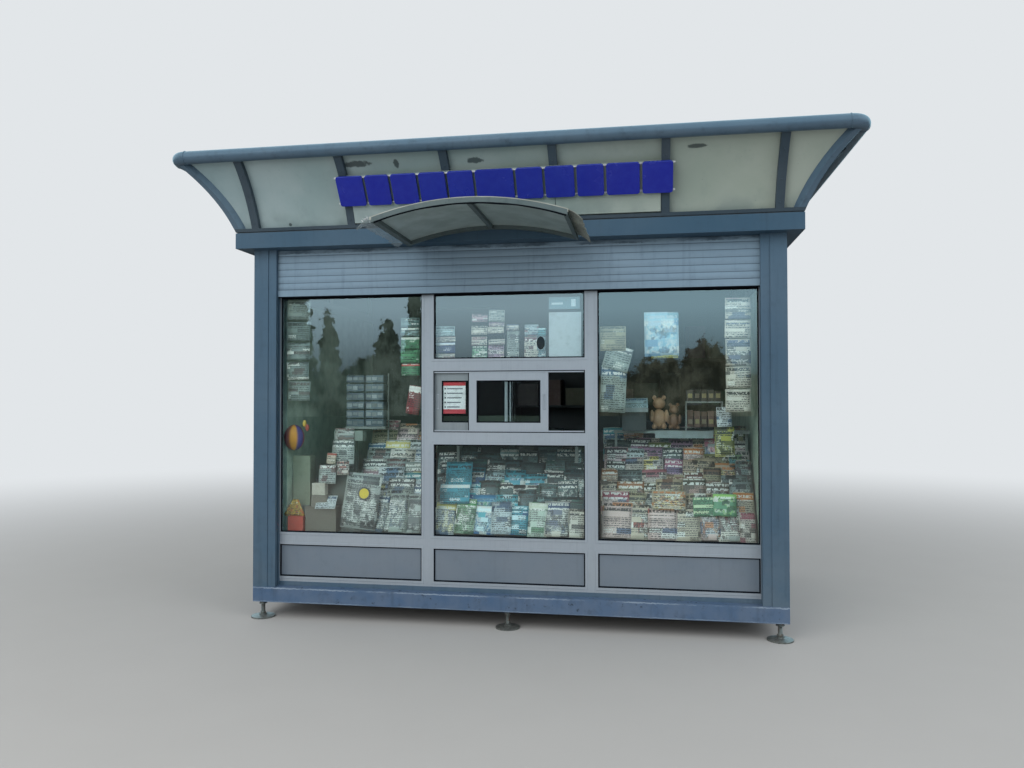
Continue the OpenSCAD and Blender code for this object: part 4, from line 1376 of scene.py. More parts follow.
@dataclass
class FootTrim(Assembly):
    """Thread, washer and lock nut of each levelling foot."""

    spindle_r: float = 0.011
    low: float = 0.0225
    high: float = 0.0835
    pitch: float = 0.0044

    def build(self) -> None:
        """Threads are rings whose radius rises and falls once a pitch."""
        feet = np.array([[x, y, 0.0] for y in (-0.7276, 1.0824) for x in (-1.505, 0.0, 1.505)])
        k = np.arange(2 * int((self.high - self.low) / self.pitch) + 1)
        radius = self.spindle_r + np.where(k % 2 == 0, 0.0002, 0.0016)
        level = self.low + k * self.pitch / 2
        thread = [[0.0, level[0]], *np.stack([radius, level], -1), [0.0, level[-1]]]
        washer = [[0.012, 0.0805], [0.0235, 0.0805], [0.0245, 0.0815], [0.0235, 0.084], [0.012, 0.084],
                  [0.012, 0.0805]]
        lock = [[0.0, 0.0235], [0.0165, 0.0235], [0.0175, 0.0255], [0.0175, 0.0325], [0.0165, 0.0345],
                [0.0, 0.0345]]
        work = Patchwork()
        for profile, sides in ((thread, 20), (washer, 24), (lock, 6)):
            work.add(*turned(profile, feet, sides))
        work.build("foot_threads", self.finishes.galvanised)


# Back

@dataclass
class BackTrim(Assembly):
    """Pressed panels of the door, cover strips and rivets of the back wall."""

    door_x: float = 0.7
    door_low: float = 0.194
    face: float = 0.02
    wall_face: float = 0.025

    def door(self) -> None:
        """Two pressed rectangles on the leaf: rings whose section is a low half ellipse."""
        a = np.linspace(0, np.pi, 7)
        wide, high, sunk = 0.018, 0.004, self.face + 0.0008
        ring = np.stack([wide * (1 - np.cos(a)) / 2, self.face + 0.0004 - high * np.sin(a)], -1)
        ring = np.concatenate([ring, [[wide, sunk], [0.0, sunk]]])
        work = Patchwork()
        work.lay(Wall.BACK, *mitred_rings([[self.door_x, self.door_low + 0.5, 0.26, 0.4],
                                           [self.door_x, self.door_low + 1.42, 0.26, 0.36]], ring))
        work.build("door_pressings", self.finishes.blue)

    def strips(self) -> None:
        """Cover strips over the joints of the wall's sheets, and over the door."""
        work = Patchwork()
        work.lay(Wall.BACK, *box_cells(
            [[-0.59, self.wall_face - 0.003, 0.19], [0.29, self.face - 0.01, 2.11]],
            [[-0.54, self.wall_face, 2.217], [1.11, self.face + 0.004, 2.128]]))
        piece = work.build("back_cover_strips", self.finishes.kick)
        bevel(piece, 0.001)

    def rivets(self) -> None:
        """Rivets down the cover strip and along the edges of the wall's sheets."""
        x = np.array([-1.44, -0.565, 0.27, 1.13, 1.44])[:, None]
        y = self.wall_face - 0.003 * (x == -0.565)
        places = Wall.BACK.place(points_at(x, y, np.linspace(0.24, 2.17, 14))).reshape(-1, 3)
        work = Patchwork()
        work.add(*domes(places, np.tile([[0.0, 1.0, 0.0]], (len(places), 1)), 0.0055))
        work.build("back_rivets", self.finishes.galvanised, smooth=True)

    steps = (door, strips, rivets)


# Goods

class Palette(Enum):
    """Colours of paper, ink and accent that belong together, as display colours."""

    COOL = (((186, 198, 200), (166, 184, 190), (200, 206, 206)),
            ((38, 92, 130), (30, 66, 98), (56, 122, 130)), ((150, 60, 66), (206, 196, 120), (90, 150, 170)))
    WARM = (((200, 190, 178), (208, 184, 176), (190, 178, 158)),
            ((160, 62, 52), (188, 116, 56), (140, 50, 76)), ((206, 186, 90), (52, 84, 120), (70, 62, 58)))
    MIXED = (((196, 200, 196), (176, 186, 184), (204, 196, 190), (160, 178, 172)),
             ((150, 54, 56), (52, 92, 140), (84, 130, 76), (168, 150, 62), (88, 62, 112)),
             ((206, 190, 96), (52, 140, 150), (196, 120, 140), (60, 62, 70)))
    NEWS = (((158, 168, 160), (170, 176, 170), (150, 162, 158)), ((60, 66, 70), (96, 60, 60), (56, 84, 110)),
            ((90, 96, 98), (130, 136, 130), (70, 74, 76)))
    BEIGE = (((168, 152, 126), (182, 160, 138), (156, 148, 118), (176, 144, 132)),
             ((90, 52, 44), (58, 54, 40), (122, 72, 50)), ((150, 98, 60), (110, 120, 72), (82, 72, 64)))
    GREEN = (((152, 178, 152), (178, 192, 178)), ((44, 112, 66), (58, 136, 74), (92, 164, 60)),
             ((36, 92, 64), (150, 186, 84), (206, 210, 190)))
    LIME = (((110, 158, 84), (92, 148, 112)), ((46, 96, 50), (206, 220, 180)), ((150, 200, 104),))
    BLUE = (((136, 182, 196), (120, 172, 190), (170, 196, 200)),
            ((30, 110, 150), (26, 84, 128), (44, 142, 130)), ((84, 170, 96), (206, 208, 120), (60, 150, 190)))
    YELLOW = (((158, 154, 62),), ((70, 72, 44),), ((186, 180, 110),))
    AGED = (((124, 136, 132), (138, 146, 140), (108, 122, 120)), ((26, 32, 36), (64, 40, 42)),
            ((58, 66, 68), (140, 146, 138)))
    PALE = (((208, 202, 188), (196, 190, 178), (216, 210, 196)), ((44, 46, 52), (110, 52, 62), (52, 72, 110)),
            ((150, 124, 132), (132, 140, 136), (60, 62, 66)))
    ROSE = (((186, 150, 160), (170, 134, 158), (198, 176, 176)), ((96, 40, 70), (70, 52, 96), (60, 50, 60)),
            ((206, 196, 180), (150, 84, 110)))
    CYAN = (((50, 146, 164), (66, 160, 172)), ((206, 226, 228),), ((24, 84, 140), (190, 220, 222)))
    NAVY = (((18, 32, 98),), ((12, 18, 60),), ((80, 108, 176), (206, 214, 222)))
    HERBS = (((58, 122, 84), (74, 140, 96), (96, 150, 110)), ((176, 196, 180), (28, 74, 52)),
             ((176, 70, 66), (200, 206, 196)))
    DIM = (((62, 92, 96), (52, 78, 80), (84, 112, 112)), ((28, 60, 70), (34, 48, 54)),
           ((120, 150, 150), (44, 92, 84)))
    POSTER = (((176, 200, 212),), ((84, 136, 172),), ((140, 190, 206),))
    FLAME = (((196, 120, 40), (190, 150, 44)), ((176, 70, 36),), ((206, 170, 60),))
    CHERRY = (((132, 32, 46),), ((206, 200, 196),), ((84, 24, 34),))


@dataclass(frozen=True)
class Leaf:
    """One sheet or cover in a wall's own axes: where its foot's middle is, its size and how it leans."""

    x: float
    y: float
    z: float
    width: float
    height: float
    lean: float = 0.0
    roll: float = 0.0
    palette: Palette = Palette.MIXED
    picture: float = 0.7
    bow: float = 0.002


class PaperStock:
    """Curved sheets with printed covers, gathered into one piece."""

    def __init__(self, seed: int, leaves: list[Leaf] | None = None) -> None:
        """Starts a stock with its own random draws."""
        self.rng = np.random.default_rng(seed)
        self.leaves = leaves or []

    def shingles(self, x0: float, x1: float, rows: int, foot: tuple[float, float], step: tuple[float, float],
                 palettes: tuple[Palette, ...], size: tuple[float, float] = (0.165, 0.265),
                 lean: tuple[float, float] = (18, 23)) -> None:
        """Rows of covers that lean back, each row behind and above the last, so that they overlap.

        Args:
            x0: left end of the rows.
            x1: right end of the rows.
            rows: number of rows.
            foot: Y and Z of the first row's foot.
            step: how far each row's foot lies behind and above the last one's.
            palettes: colours that the covers are drawn from.
            size: usual width and height of a cover.
            lean: smallest and largest lean in degrees.
        """
        draw = self.rng.uniform
        for row in range(rows):
            x = x0 + draw(0.0, 0.03)
            while x < x1 - 0.06:
                width = min(size[0] * draw(0.72, 1.15), x1 - x)
                self.leaves.append(Leaf(
                    x + width / 2, foot[0] + row * step[0] + draw(0, 0.004),
                    foot[1] + row * step[1] + draw(-0.004, 0.008), width, size[1] * draw(0.84, 1.06),
                    draw(*lean), self.rng.normal(0, 1.3), palettes[self.rng.integers(len(palettes))],
                    draw(0.4, 1.0), draw(0.002, 0.006)))
                x += width * draw(0.8, 1.01)

    def column(self, x: float, y: float, width: float,
               spans: tuple[tuple[float, float, Palette], ...]) -> None:
        """Small cards one above another, each given by its bottom, its top and its colours."""
        rng = self.rng
        for low, high, palette in spans:
            self.leaves.append(Leaf(x + rng.normal(0, 0.002), y, low, width * rng.uniform(0.92, 1.0),
                                    high - low, 2, rng.normal(0, 0.8), palette, rng.uniform(0.0, 0.9)))

    def surface(self, columns: int, rows: int) -> Array:
        """Points of every sheet at once.

        A sheet's point is its foot plus u times its width along its own right and v times its height
        along its own up. It bows out by bow·(1 − (2u)²), and its top curls back with the cube of v.

        Args:
            columns: points across a sheet.
            rows: points up a sheet.

        Returns:
            N by rows by columns by 3 points.
        """
        value = {name: np.array([getattr(leaf, name) for leaf in self.leaves])[:, None, None]
                 for name in ("x", "y", "z", "width", "height", "lean", "roll", "bow")}
        u = np.linspace(-0.5, 0.5, columns)[None, None]
        v = np.linspace(0.0, 1.0, rows)[None, :, None]
        roll, lean = np.radians(value["roll"]), np.radians(value["lean"])
        flat_x = u * value["width"] * np.cos(roll) - v * value["height"] * np.sin(roll)
        flat_z = u * value["width"] * np.sin(roll) + v * value["height"] * np.cos(roll)
        bulge = value["bow"] * (1 - (2 * u) ** 2) - 1.5 * value["bow"] * v ** 3
        return points_at(value["x"] + flat_x, value["y"] + flat_z * np.sin(lean) - bulge * np.cos(lean),
                         value["z"] + flat_z * np.cos(lean) + bulge * np.sin(lean))

    def build(self, name: str, material: Material, wall: Wall = Wall.FRONT,
              thickness: float = 0.0014) -> None:
        """Makes the stock's mesh with its prints' coordinates and colours."""
        columns, rows, n = 5, 7, len(self.leaves)
        u, v = np.meshgrid(np.linspace(0, 1, columns), np.linspace(0, 1, rows))
        uv = np.broadcast_to(np.stack([u, v], -1)[None], (n, rows, columns, 2))
        draws = {"paper": [], "ink": [], "accent": [], "kind": [], "span": []}
        for leaf in self.leaves:
            for label, choices in zip(("paper", "ink", "accent"), leaf.palette.value):
                draws[label].append(linear(choices[self.rng.integers(len(choices))])[:3])
            draws["kind"].append((self.rng.uniform(), leaf.picture, self.rng.uniform()))
            draws["span"].append((leaf.width, leaf.height, 0.0))
        spread = {label: np.repeat(np.array(values), rows * columns, axis=0)
                  for label, values in draws.items()}
        work = Patchwork()
        work.lay(wall, self.surface(columns, rows), repeated(grid_faces(rows, columns, wrap_columns=False), n,
                                                             rows * columns), uv=uv, **spread)
        thicken(work.build(name, material, smooth=True, closed=False), thickness)


@dataclass
class Display(Assembly):
    """The goods behind the glass: racks of magazines, taped newspapers, cards and small things."""

    foot: tuple[float, float] = (0.1236, 0.512)
    rise: tuple[float, float] = (0.044, 0.06)

    def tier(self, number: int) -> tuple[float, float]:
        """Y and Z of a cover's foot on a step of the stands."""
        return tuple(start + number * by for start, by in zip(self.foot, self.rise))

    def racks(self) -> None:
        """Magazines on the stepped stands of the three bays."""
        p = Palette
        left = PaperStock(3, [
            Leaf(-0.938, 0.122, 0.532, 0.225, 0.335, 10, -5, p.NEWS, 0.78),
            Leaf(-1.153, 0.14, 0.644, 0.13, 0.09, 32, 1, p.COOL, 0.2),
            Leaf(-1.15, 0.166, 0.794, 0.11, 0.116, 8, 1, p.NEWS, 0.3),
            Leaf(-1.137, 0.196, 0.914, 0.06, 0.068, 6, -3, p.WARM, 0.2),
            Leaf(-1.049, 0.17, 0.85, 0.078, 0.086, 6, 2, p.WARM, 0.9),
            Leaf(-1.069, 0.216, 0.889, 0.144, 0.172, 6, 0, p.NEWS, 0.6),
            Leaf(-1.079, 0.273, 1.053, 0.126, 0.081, 3, 0, p.NEWS, 1.0)])
        left.leaves += [Leaf(-1.352 + 0.002 * a, 0.15, 0.598, 0.026, 0.1, 6, a, p.FLAME, 0.4)
                        for a in (-30, -16, -2, 12, 26)]
        middle = PaperStock(4, [
            Leaf(-0.346, 0.172, 0.688, 0.182, 0.118, 16, 1, p.CYAN, 0.3),
            Leaf(-0.332, 0.216, 0.774, 0.162, 0.165, 18, 1, p.CYAN, 0.0)])
        right = PaperStock(8, [
            Leaf(1.2315, 0.1726, 0.985, 0.109, 0.169, 4, 1, p.YELLOW, 0.8),
            Leaf(1.23, 0.1776, 1.154, 0.082, 0.114, 4, 2, p.COOL, 0.3),
            Leaf(0.723, 0.2726, 1.262, 0.158, 0.09, 50, 2, p.BLUE, 0.0),
            Leaf(1.12, 0.158, 0.646, 0.13, 0.11, 16, 2, p.LIME, 0.3),
            Leaf(1.228, 0.158, 0.65, 0.13, 0.128, 16, -1, p.LIME, 1.0),
            Leaf(0.915, 0.17, 0.676, 0.19, 0.11, 16, -1, p.WARM, 0.9)])
        for stock, x0, x1, rows, tier, palettes, size in (
                (left, -0.9, -0.53, 2, 0, (p.NEWS, p.COOL, p.COOL), (0.16, 0.265)),
                (left, -0.985, -0.53, 4, 2, (p.COOL, p.PALE, p.NEWS, p.COOL), (0.17, 0.265)),
                (left, -0.97, -0.53, 2, 6, (p.ROSE, p.WARM, p.BEIGE), (0.165, 0.265)),
                (middle, -0.49, 0.44, 1, 0, (p.GREEN, p.PALE, p.COOL, p.CYAN), (0.13, 0.2)),
                (middle, -0.495, 0.44, 3, 1, (p.BLUE, p.CYAN, p.DIM, p.DIM), (0.15, 0.2)),
                (middle, -0.5, 0.44, 2, 4, (p.DIM,), (0.15, 0.2)),
                (right, 0.525, 1.395, 1, 0, (p.PALE, p.WARM, p.PALE, p.WARM), (0.15, 0.2)),
                (right, 0.525, 1.395, 3, 1, (p.BEIGE, p.WARM, p.BEIGE, p.AGED), (0.14, 0.22)),
                (right, 0.525, 1.395, 4, 4, (p.MIXED, p.ROSE, p.AGED, p.BEIGE, p.WARM), (0.135, 0.22))):
            stock.shingles(x0, x1, rows, self.tier(tier), self.rise, palettes, size)
        for side, stock in (("left", left), ("middle", middle), ("right", right)):
            stock.build(f"magazines_{side}", self.finishes.printed)

    def taped(self) -> None:
        """Newspapers, posters and cards that are taped to the inside of the glass."""
        p, y = Palette, 0.0915
        stock = PaperStock(21)
        for x, width, palette, spans in (
                (-1.306, 0.152, p.AGED, ((1.799, 1.93), (1.671, 1.79), (1.555, 1.661), (1.433, 1.544),
                                         (1.305, 1.427))),
                (-0.599, 0.12, p.DIM, ((1.745, 1.802), (1.69, 1.742))),
                (-0.596, 0.12, p.HERBS, ((1.612, 1.686), (1.532, 1.608), (1.455, 1.527))),
                (1.298, 0.148, p.PALE, ((1.76, 1.88), (1.655, 1.755), (1.5, 1.65), (1.375, 1.495),
                                        (1.241, 1.37)))):
            stock.column(x, y, width, tuple((low, high, palette) for low, high in spans))
        stock.leaves += [
            Leaf(-0.586, y, 1.226, 0.082, 0.17, 0, -9, p.CHERRY, 0.2),
            Leaf(0.605, y, 1.59, 0.148, 0.14, 0, 0, p.BEIGE, 0.2),
            Leaf(0.612, y, 1.48, 0.15, 0.14, 0, -16, p.NEWS, 0.0),
            Leaf(0.598, y + 0.004, 1.238, 0.148, 0.265, 0, -3, p.NEWS, 0.3),
            Leaf(0.88, y, 1.556, 0.192, 0.252, 0, 0.6, p.POSTER, 1.0),
            Leaf(0.896, y - 0.001, 1.545, 0.15, 0.022, 0, 0.6, p.YELLOW, 0.0)]
        stock.build("taped_papers", self.finishes.printed, thickness=0.001)

    def cards(self) -> None:
        """Columns of small cards that stand on the ledge over the hatch."""
        p, stock = Palette, PaperStock(31)
        for x, width, spans in (
                (-0.39, 0.13, ((1.555, 1.585, p.PALE), (1.588, 1.652, p.NAVY), (1.655, 1.686, p.PALE),
                                 (1.69, 1.75, p.BLUE))),
                (-0.181, 0.096, ((1.555, 1.628, p.HERBS), (1.634, 1.684, p.PALE), (1.697, 1.748, p.PALE),
                                 (1.772, 1.82, p.ROSE))),
                (-0.078, 0.1, ((1.555, 1.632, p.ROSE), (1.636, 1.668, p.PALE), (1.704, 1.74, p.PALE),
                                 (1.743, 1.768, p.ROSE), (1.772, 1.842, p.NEWS))),
                (0.02, 0.074, ((1.555, 1.716, p.AGED), (1.719, 1.755, p.PALE))),
                (0.13, 0.084, ((1.555, 1.68, p.PALE), (1.684, 1.752, p.COOL))),
                (0.19, 0.052, ((1.555, 1.598, p.COOL), (1.6, 1.682, p.COOL), (1.684, 1.73, p.CYAN)))):
            stock.column(x, 0.118, width, spans)
        stock.build("small_cards", self.finishes.printed, thickness=0.001)

    def tinted(self, name: str, rows: list[tuple]) -> None:
        """Boxes given by x, y and z spans and a colour, gathered into one piece."""
        work = Patchwork()
        for x0, x1, y0, y1, z0, z1, colour in rows:
            work.lay(Wall.FRONT, *box_cells([x0, y0, z0], [x1, y1, z1]), tint=linear(colour)[:3])
        bevel(work.build(name, self.finishes.goods), 0.0012)

    def boxes(self) -> None:
        """Cartons, blank notices with bars, packets and small boxes in racks, and the back shelves' stock."""
        rng = np.random.default_rng(5)
        rows: list[tuple] = [
            (-1.389, -1.29, 0.13, 0.215, 0.502, 0.596, (164, 58, 42)),
            (-1.285, -1.085, 0.15, 0.232, 0.502, 0.655, (104, 98, 88)),
            (-1.242, -1.157, 0.152, 0.2, 0.727, 0.799, (180, 174, 160)),
            (-1.25, -1.15, 0.16, 0.23, 0.655, 0.727, (112, 106, 96)),
            (-1.205, -1.000, 0.232, 0.3, 0.652, 0.885, (84, 92, 86)),
            (-1.15, -1.01, 0.275, 0.33, 0.802, 1.053, (88, 98, 92)),
            (-1.405, -1.29, 0.235, 0.32, 0.652, 0.96, (138, 146, 126)),
            (-0.397, -0.26, 0.0975, 0.0985, 1.229, 1.424, (222, 222, 222)),
            (-0.397, -0.26, 0.0968, 0.0976, 1.229, 1.255, (184, 62, 72)),
            (-0.397, -0.26, 0.0968, 0.0976, 1.394, 1.424, (188, 52, 60)),
            (0.236, 0.424, 0.0945, 0.0955, 1.56, 1.818, (168, 176, 180)),
            (0.236, 0.416, 0.0945, 0.0955, 1.836, 1.906, (104, 134, 146)),
            (0.252, 0.318, 0.0938, 0.0946, 1.862, 1.874, (190, 205, 208)),
            (0.366, 0.392, 0.0938, 0.0946, 1.85, 1.892, (196, 210, 214)),
            (-1.15, -0.962, 0.28, 0.345, 1.054, 1.118, (128, 138, 130)),
            (0.843, 1.18, 0.3496, 0.3526, 1.08, 1.124, (138, 148, 148)),
            (0.644, 0.802, 0.2726, 0.36, 1.237, 1.262, (150, 160, 160)),
            (0.65, 0.79, 0.28, 0.36, 1.126, 1.237, (58, 62, 62))]
        for i in range(5):
            low = 1.372 - i * 0.027
            rows += [(-0.388, -0.379, 0.0968, 0.0976, low, low + 0.009, (60, 62, 72)),
                     (-0.372, -0.372 + rng.uniform(0.075, 0.1), 0.0968, 0.0976, low + 0.001, low + 0.008,
                      (112, 112, 120))]
        for i, j in np.ndindex(6, 2):
            z, x, shade = 1.142 + i * 0.056, -1.105 + j * 0.128, int(rng.integers(-10, 10))
            rows.append((x, x + 0.118, 0.3726, 0.44, z, z + 0.046, (70 + shade, 86 + shade, 98 + shade)))
            for k in range(3):
                left, pale = x + 0.006 + k * 0.037, int(rng.integers(90, 150))
                rows.append((left, left + 0.031, 0.3706, 0.3736, z + 0.008 + rng.uniform(0, 0.01), z + 0.034,
                             (pale, pale + 8, pale + 10)))
        for z, tall, base in ((1.15, 0.105, (84, 58, 46)), (1.302, 0.068, (52, 44, 38))):
            for k in range(5):
                x, shade = 1.03 + k * 0.04, int(rng.integers(-14, 24))
                rows += [(x, x + 0.034, 0.3126, 0.37, z, z + tall * rng.uniform(0.8, 1.0),
                          tuple(c + shade for c in base)),
                         (x + 0.005, x + 0.029, 0.311, 0.3126, z + 0.018, z + 0.044,
                          (124 + shade, 112 + shade, 84))]
        self.tinted("boxes_and_packets", rows)
        # The stock on the back shelves is dark grey: painted shade deep in the room.
        stock = []
        for z in (0.568, 0.918, 1.268, 1.618):
            x = -0.19
            while x < 1.3:
                width, tall = rng.uniform(0.08, 0.22), rng.uniform(0.08, 0.25)
                shade = tuple(int(c) for c in rng.integers(34, 66, 3))
                stock.append((x, x + width, 1.6, 1.8, z, z + tall, shade))
                x += width + rng.uniform(0.006, 0.05)
        self.tinted("back_shelf_stock", stock)

    def shelves(self) -> None:
        """Racks and shelves over the stands, the hatch's counter and the back shelves."""
        rows = [
            (-1.115, -0.843, 0.3676, 0.4476, 1.126, 1.14), (-1.115, -1.107, 0.4326, 0.4446, 0.8, 1.48),
            (-0.851, -0.843, 0.4326, 0.4446, 0.8, 1.48), (0.6, 1.39, 0.3526, 0.4476, 1.108, 1.126),
            (0.6, 0.615, 0.4376, 0.4496, 0.8, 1.108), (1.375, 1.39, 0.4376, 0.4496, 0.8, 1.108),
            (1.02, 1.235, 0.3076, 0.39, 1.29, 1.3), (1.228, 1.235, 0.3076, 0.39, 1.126, 1.29),
            (1.02, 1.027, 0.3076, 0.39, 1.126, 1.29), (-0.44, 0.44, 0.1056, 0.1726, 1.54, 1.551),
            (-0.43, 0.43, 0.1086, 0.4726, 1.086, 1.106), (-0.38, -0.36, 0.3726, 0.4526, 0.8, 1.086),
            (0.36, 0.38, 0.3726, 0.4526, 0.8, 1.086)]
        # The back shelves take the near black board: painted shade deep in the room.
        back = [(-0.2, 1.38, 1.5726, 1.8326, z, z + 0.018) for z in (0.55, 0.9, 1.25, 1.6)]
        back += [(x, x + 0.018, 1.5726, 1.8326, 0.19, 1.9) for x in (-0.218, 0.58, 1.38)]
        for name, boards, finish in (("inner_shelves", rows, self.finishes.boards),
                                     ("back_shelves", back, self.finishes.lining)):
            spans = np.array(boards)
            work = Patchwork()
            work.lay(Wall.FRONT, *box_cells(spans[:, 0::2], spans[:, 1::2]))
            piece = work.build(name, finish)
            bevel(piece, 0.0015)

    def sides(self) -> None:
        """Lining boards behind the side windows, with covers that stand on their ledges and face out."""
        work = Patchwork()
        levels = 0.524 + 0.228 * np.arange(6)
        low = [[-0.78, 0.132, 0.502], [-0.788, 0.088, 0.502], [0.78, 0.088, 0.502]]
        low += [[-0.78, 0.1, z - 0.01] for z in levels]
        high = [[0.78, 0.14, 1.93], [-0.78, 0.14, 1.93], [0.788, 0.14, 1.93]]
        high += [[0.78, 0.132, z] for z in levels]
        for wall in (Wall.RIGHT, Wall.LEFT):
            work.lay(wall, *box_cells(low, high))
            stock = PaperStock(40 + wall.value)
            for x0, x1 in ((-0.77, -0.04), (0.04, 0.77)):
                stock.shingles(x0, x1, 6, (0.106, 0.526), (0.0, 0.228), tuple(Palette)[:7], (0.15, 0.195),
                               (2, 5))
            stock.build(f"magazines_{wall.name.lower()}_side", self.finishes.printed, wall)
        bevel(work.build("side_display_boards", self.finishes.side_board), 0.0015)

    def round_goods(self) -> None:
        """A striped ball, two plush toys, two small figures and a dark oval, all spheres that are stretched.

        A point of a sphere is its middle plus the radii times (sin a·cos t, sin a·sin t, cos a).
        """
        rows, columns = 13, 24
        a, t = np.linspace(0, np.pi, rows)[:, None], around(columns)[None]
        unit_sphere = points_at(np.sin(a) * np.cos(t), np.sin(a) * np.sin(t), np.cos(a))
        stripes = np.array([linear(c)[:3] for c in ((150, 60, 46), (116, 36, 38), (204, 138, 36),
                                                    (64, 48, 124))])
        ball = np.broadcast_to(stripes[(np.arange(columns) // 3) % 4][None], unit_sphere.shape)
        solids = [((-1.368, 0.172, 1.078), (0.064, 0.05, 0.08), ball),
                  ((-1.29, 0.15, 1.165), (0.012, 0.01, 0.022), linear((190, 160, 60))[:3]),
                  ((-1.272, 0.15, 1.14), (0.012, 0.01, 0.022), linear((150, 60, 50))[:3]),
                  ((0.19, 0.0805, 1.64), (0.024, 0.0012, 0.038), linear((4, 16, 24))[:3])]
        body, head = (0, 0, 0.062, 0.038, 0.034, 0.056), (0, -0.006, 0.15, 0.034, 0.032, 0.032)
        pairs = ((0.026, 0, 0.182, 0.012, 0.008, 0.013), (0.026, -0.034, 0.022, 0.015, 0.03, 0.016),
                 (0.04, -0.016, 0.08, 0.013, 0.014, 0.034))
        limbs = [body, head, *((side * dx, *others) for dx, *others in pairs for side in (-1, 1))]
        for x, size, colour in ((0.868, 1.08, (160, 126, 96)), (0.956, 0.84, (112, 82, 60))):
            solids += [((x + size * dx, 0.4 + size * dy, 1.126 + size * dz), tuple(size * r for r in radii),
                        linear(colour)[:3]) for dx, dy, dz, *radii in limbs]
        work = Patchwork()
        for middle, radii, tint in solids:
            work.lay(Wall.FRONT, np.array(middle) + unit_sphere * np.array(radii), grid_faces(rows, columns),
                     tint=tint)
        work.build("ball_and_toys", self.finishes.goods, smooth=True)

    def badge(self) -> None:
        """A round yellow sticker with a darker rim on the large leaning cover: six rings of points."""
        rings = np.array([[0, 0], [0.03, 0], [0.0305, 0], [0.039, 0], [0.039, 0.002], [0, 0.002]])
        t = around(32)
        r, depth = rings[:, 0:1], rings[:, 1:2]
        tint = np.repeat([linear(c)[:3] for c in 2 * ((204, 178, 40),) + 4 * ((60, 62, 66),)], len(t), 0)
        work = Patchwork()
        work.lay(Wall.FRONT, points_at(-0.903 + r * np.cos(t), 0.143 + depth + 0.17 * r * np.sin(t),
                                       0.742 + r * np.sin(t)), grid_faces(len(rings), len(t)), tint=tint)
        work.build("cover_badge", self.finishes.goods)

    steps = (racks, taped, cards, boxes, shelves, sides, round_goods, badge)


# Studio

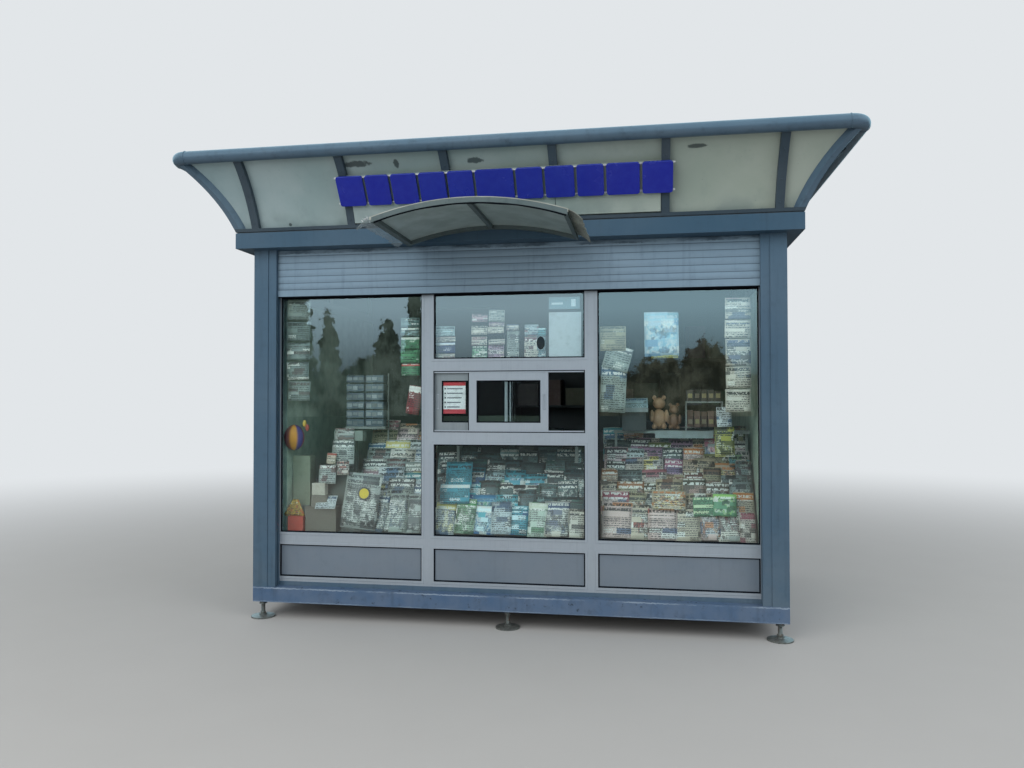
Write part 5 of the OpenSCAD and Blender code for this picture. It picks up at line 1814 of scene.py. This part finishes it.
@dataclass
class Studio:
    """Pale floor, soft light, pale surroundings and the camera of the photograph's view."""

    backdrop: Rgb = (226, 230, 233)
    floor: Rgb = (188, 187, 184)
    ambient: float = 0.66
    floor_r: float = 60.0
    crowns: tuple[Rgb, ...] = ((-0.415, 0.018, 0.24), (-0.381, 0.014, 0.08), (-0.345, 0.024, 0.02),
                               (-0.314, 0.019, 0.072), (-0.281, 0.017, 0.11), (0.018, 0.04, 0.022),
                               (0.072, 0.03, 0.046))

    def surroundings(self) -> None:
        """The world: an even light, seen as a pale backdrop, and mirrored as pale sky over a dark skyline."""
        world = bpy.data.worlds.new("surroundings")
        bpy.context.scene.world = world
        world.use_nodes = True
        g = Graph(world.node_tree)
        back = world.node_tree.nodes["Background"]
        way = g.node("ShaderNodeTexCoord").outputs["Generated"]
        x, y, z = g.parts(way)
        leafy = g.step(g.noise(g.stretch(way, (1, 1, 0.6)), 46.0, 7.0, 0.7), 0.38, 0.64)
        green = g.mix(leafy, (0.07, 0.105, 0.084, 1), (0.3, 0.42, 0.354, 1))
        olive = g.mix(leafy, (0.052, 0.062, 0.044, 1), (0.24, 0.27, 0.2, 1))
        dark = g.mix(g.step(x, -0.27, -0.25), green, (0.016, 0.018, 0.02, 1))
        dark = g.mix(g.step(x, -0.08, -0.06), dark, olive)
        line = g.swing(way, 70.0, 9.0, 0.78, 0.075)
        ragged = g.plus(x, g.swing(way, 90.0, 7.0, 0.7, 0.034))
        for middle, half, top in self.crowns:
            away = g.math("DIVIDE", g.less(ragged, middle), half)
            line = g.plus(line, g.product(g.rest(g.product(away, away), clamp=True), top))
        pale = g.mix(g.step(x, -0.12, -0.04), (1.14, 1.66, 1.9, 1), (0.95, 1.5, 1.74, 1))
        pale = g.mix(g.step(z, 0.03, 0.112, False), g.mix(0.78, pale, (0.02, 0.03, 0.04, 1)), pale)
        sky = g.mix(g.step(g.less(z, line), 0.027, 0.032), dark, pale)
        light = (self.ambient * 0.97, self.ambient, self.ambient * 1.04, 1)
        seen, mirrored = self.sight(g, g.step(y, -0.1, 0.0))
        g.fill(back, Color=g.mix(seen, g.mix(mirrored, light, sky), linear(self.backdrop)))

    @staticmethod
    def sight(g: Graph, onward: Socket) -> tuple[Socket, Socket]:
        """Whether a ray sees the pale backdrop, and whether it sees what the panes mirror.

        A ray that comes through the panes sees the backdrop where it goes on towards the back, and
        the mirrored surroundings where a pane behind the first one has turned it round.
        """
        path = g.node("ShaderNodeLightPath").outputs
        through = g.product(path["Is Transmission Ray"], onward)
        turned_back = g.less(path["Is Transmission Ray"], through)
        return (g.math("MAXIMUM", path["Is Camera Ray"], through),
                g.math("MAXIMUM", path["Is Glossy Ray"], turned_back))

    def ground(self) -> None:
        """A round floor that fades into the backdrop far away; in mirrors it shows a painted reflection of a
        dull yard and dark trees.
        """
        t = around(96)
        radii = np.array([0.0, 6.0, 20.0, self.floor_r])[:, None]
        points = points_at(radii * np.cos(t), radii * np.sin(t), 0.0).reshape(-1, 3)
        mesh = bpy.data.meshes.new("floor")
        mesh.from_pydata(points.tolist(), [], grid_faces(4, 96)[:, ::-1].tolist())
        g = Coat("pale_floor")
        grain = g.noise(g.where, 3.0, 5.0)
        x, y, _ = g.parts(g.where)
        seen, mirrored = self.sight(g, g.step(y, -2.0, -1.0))
        away = g.length(x, y)
        base = g.mix(g.product(grain, 0.25), linear(self.floor), linear(tuple(c * 0.92 for c in self.floor)))
        # Painted reflection: what the panes mirror of the floor is a dull yard near by and dark trees farther
        # off.
        far = g.mix(g.step(x, -6.0, -3.0), (0.1, 0.14, 0.095, 1), (0.05, 0.06, 0.05, 1))
        mirrored_yard = g.mix(g.step(away, 9.0, 20.0), (0.19, 0.18, 0.16, 1), far)
        g.give(Base_Color=g.mix(mirrored, base, mirrored_yard), Roughness=0.95, Specular_IOR_Level=0.1)
        glow = g.fill(g.node("ShaderNodeEmission"), Color=linear(self.backdrop))
        blend = g.node("ShaderNodeMixShader")
        for socket, source in zip(blend.inputs, (g.product(g.step(away, 2.6, 12.0), seen),
                                                 g.shader.outputs[0], glow.outputs[0])):
            g.feed(socket, source)
        g.fill(g.tree.nodes["Material Output"], Surface=blend.outputs[0])
        mesh.materials.append(g.material)
        floor = place_in_scene("floor", mesh)

    def lamp(self, name: str, place: Rgb, aim: Rgb, size: float, power: float, colour: Rgb) -> None:
        """A square soft lamp that looks at a point."""
        light = bpy.data.lights.new(name, "AREA")
        light.size = size
        light.energy = power
        light.color = colour
        lamp = place_in_scene(name, light)
        lamp.matrix_world = (Matrix.Translation(place)
                             @ (Vector(aim) - Vector(place)).to_track_quat("-Z", "Y").to_matrix().to_4x4())
        lamp.visible_glossy = False

    def camera(self) -> None:
        """The camera, from its place, turn and lens as solved from the photograph."""
        yaw, pitch, roll = (math.radians(a) for a in (9.55, 1.1, -0.08))
        ahead = Vector((-math.sin(yaw) * math.cos(pitch), math.cos(yaw) * math.cos(pitch), math.sin(pitch)))
        right = Vector((math.cos(yaw), math.sin(yaw), 0.0))
        up = right.cross(ahead)
        right, up = (right * math.cos(roll) + up * math.sin(roll),
                     up * math.cos(roll) - right * math.sin(roll))
        data = bpy.data.cameras.new("view")
        data.lens, data.sensor_width, data.clip_end = 28.125, 36.0, 300.0
        camera = place_in_scene("view", data)
        turn = Matrix((right, up, -ahead)).transposed().to_4x4()
        camera.matrix_world = Matrix.Translation((0.794, -5.2876, 1.313)) @ turn
        bpy.context.scene.camera = camera

    def build(self) -> None:
        """Makes the studio."""
        self.surroundings()
        self.ground()
        self.lamp("key", (-3.4, -7.6, 4.5), (0.0, 0.0, 1.3), 6.0, 310.0, (1.0, 0.98, 0.95))
        self.lamp("fill", (5.5, -3.5, 4.5), (0.0, 0.3, 1.2), 4.5, 112.0, (0.94, 0.97, 1.0))
        self.camera()
        view = bpy.context.scene.view_settings
        view.view_transform = "Standard"


def main() -> None:
    """Builds and dresses the kiosk's sub-assemblies in order."""
    Studio().build()
    finishes = Finishes()
    finishes.dress()
    for assembly in (WindowTrim, HatchTrim, ShutterTrim, SignBand, CanopyTrim, AwningTrim, FootTrim,
                     BackTrim, Display):
        assembly(finishes).build()


if __name__ == "__main__":
    main()
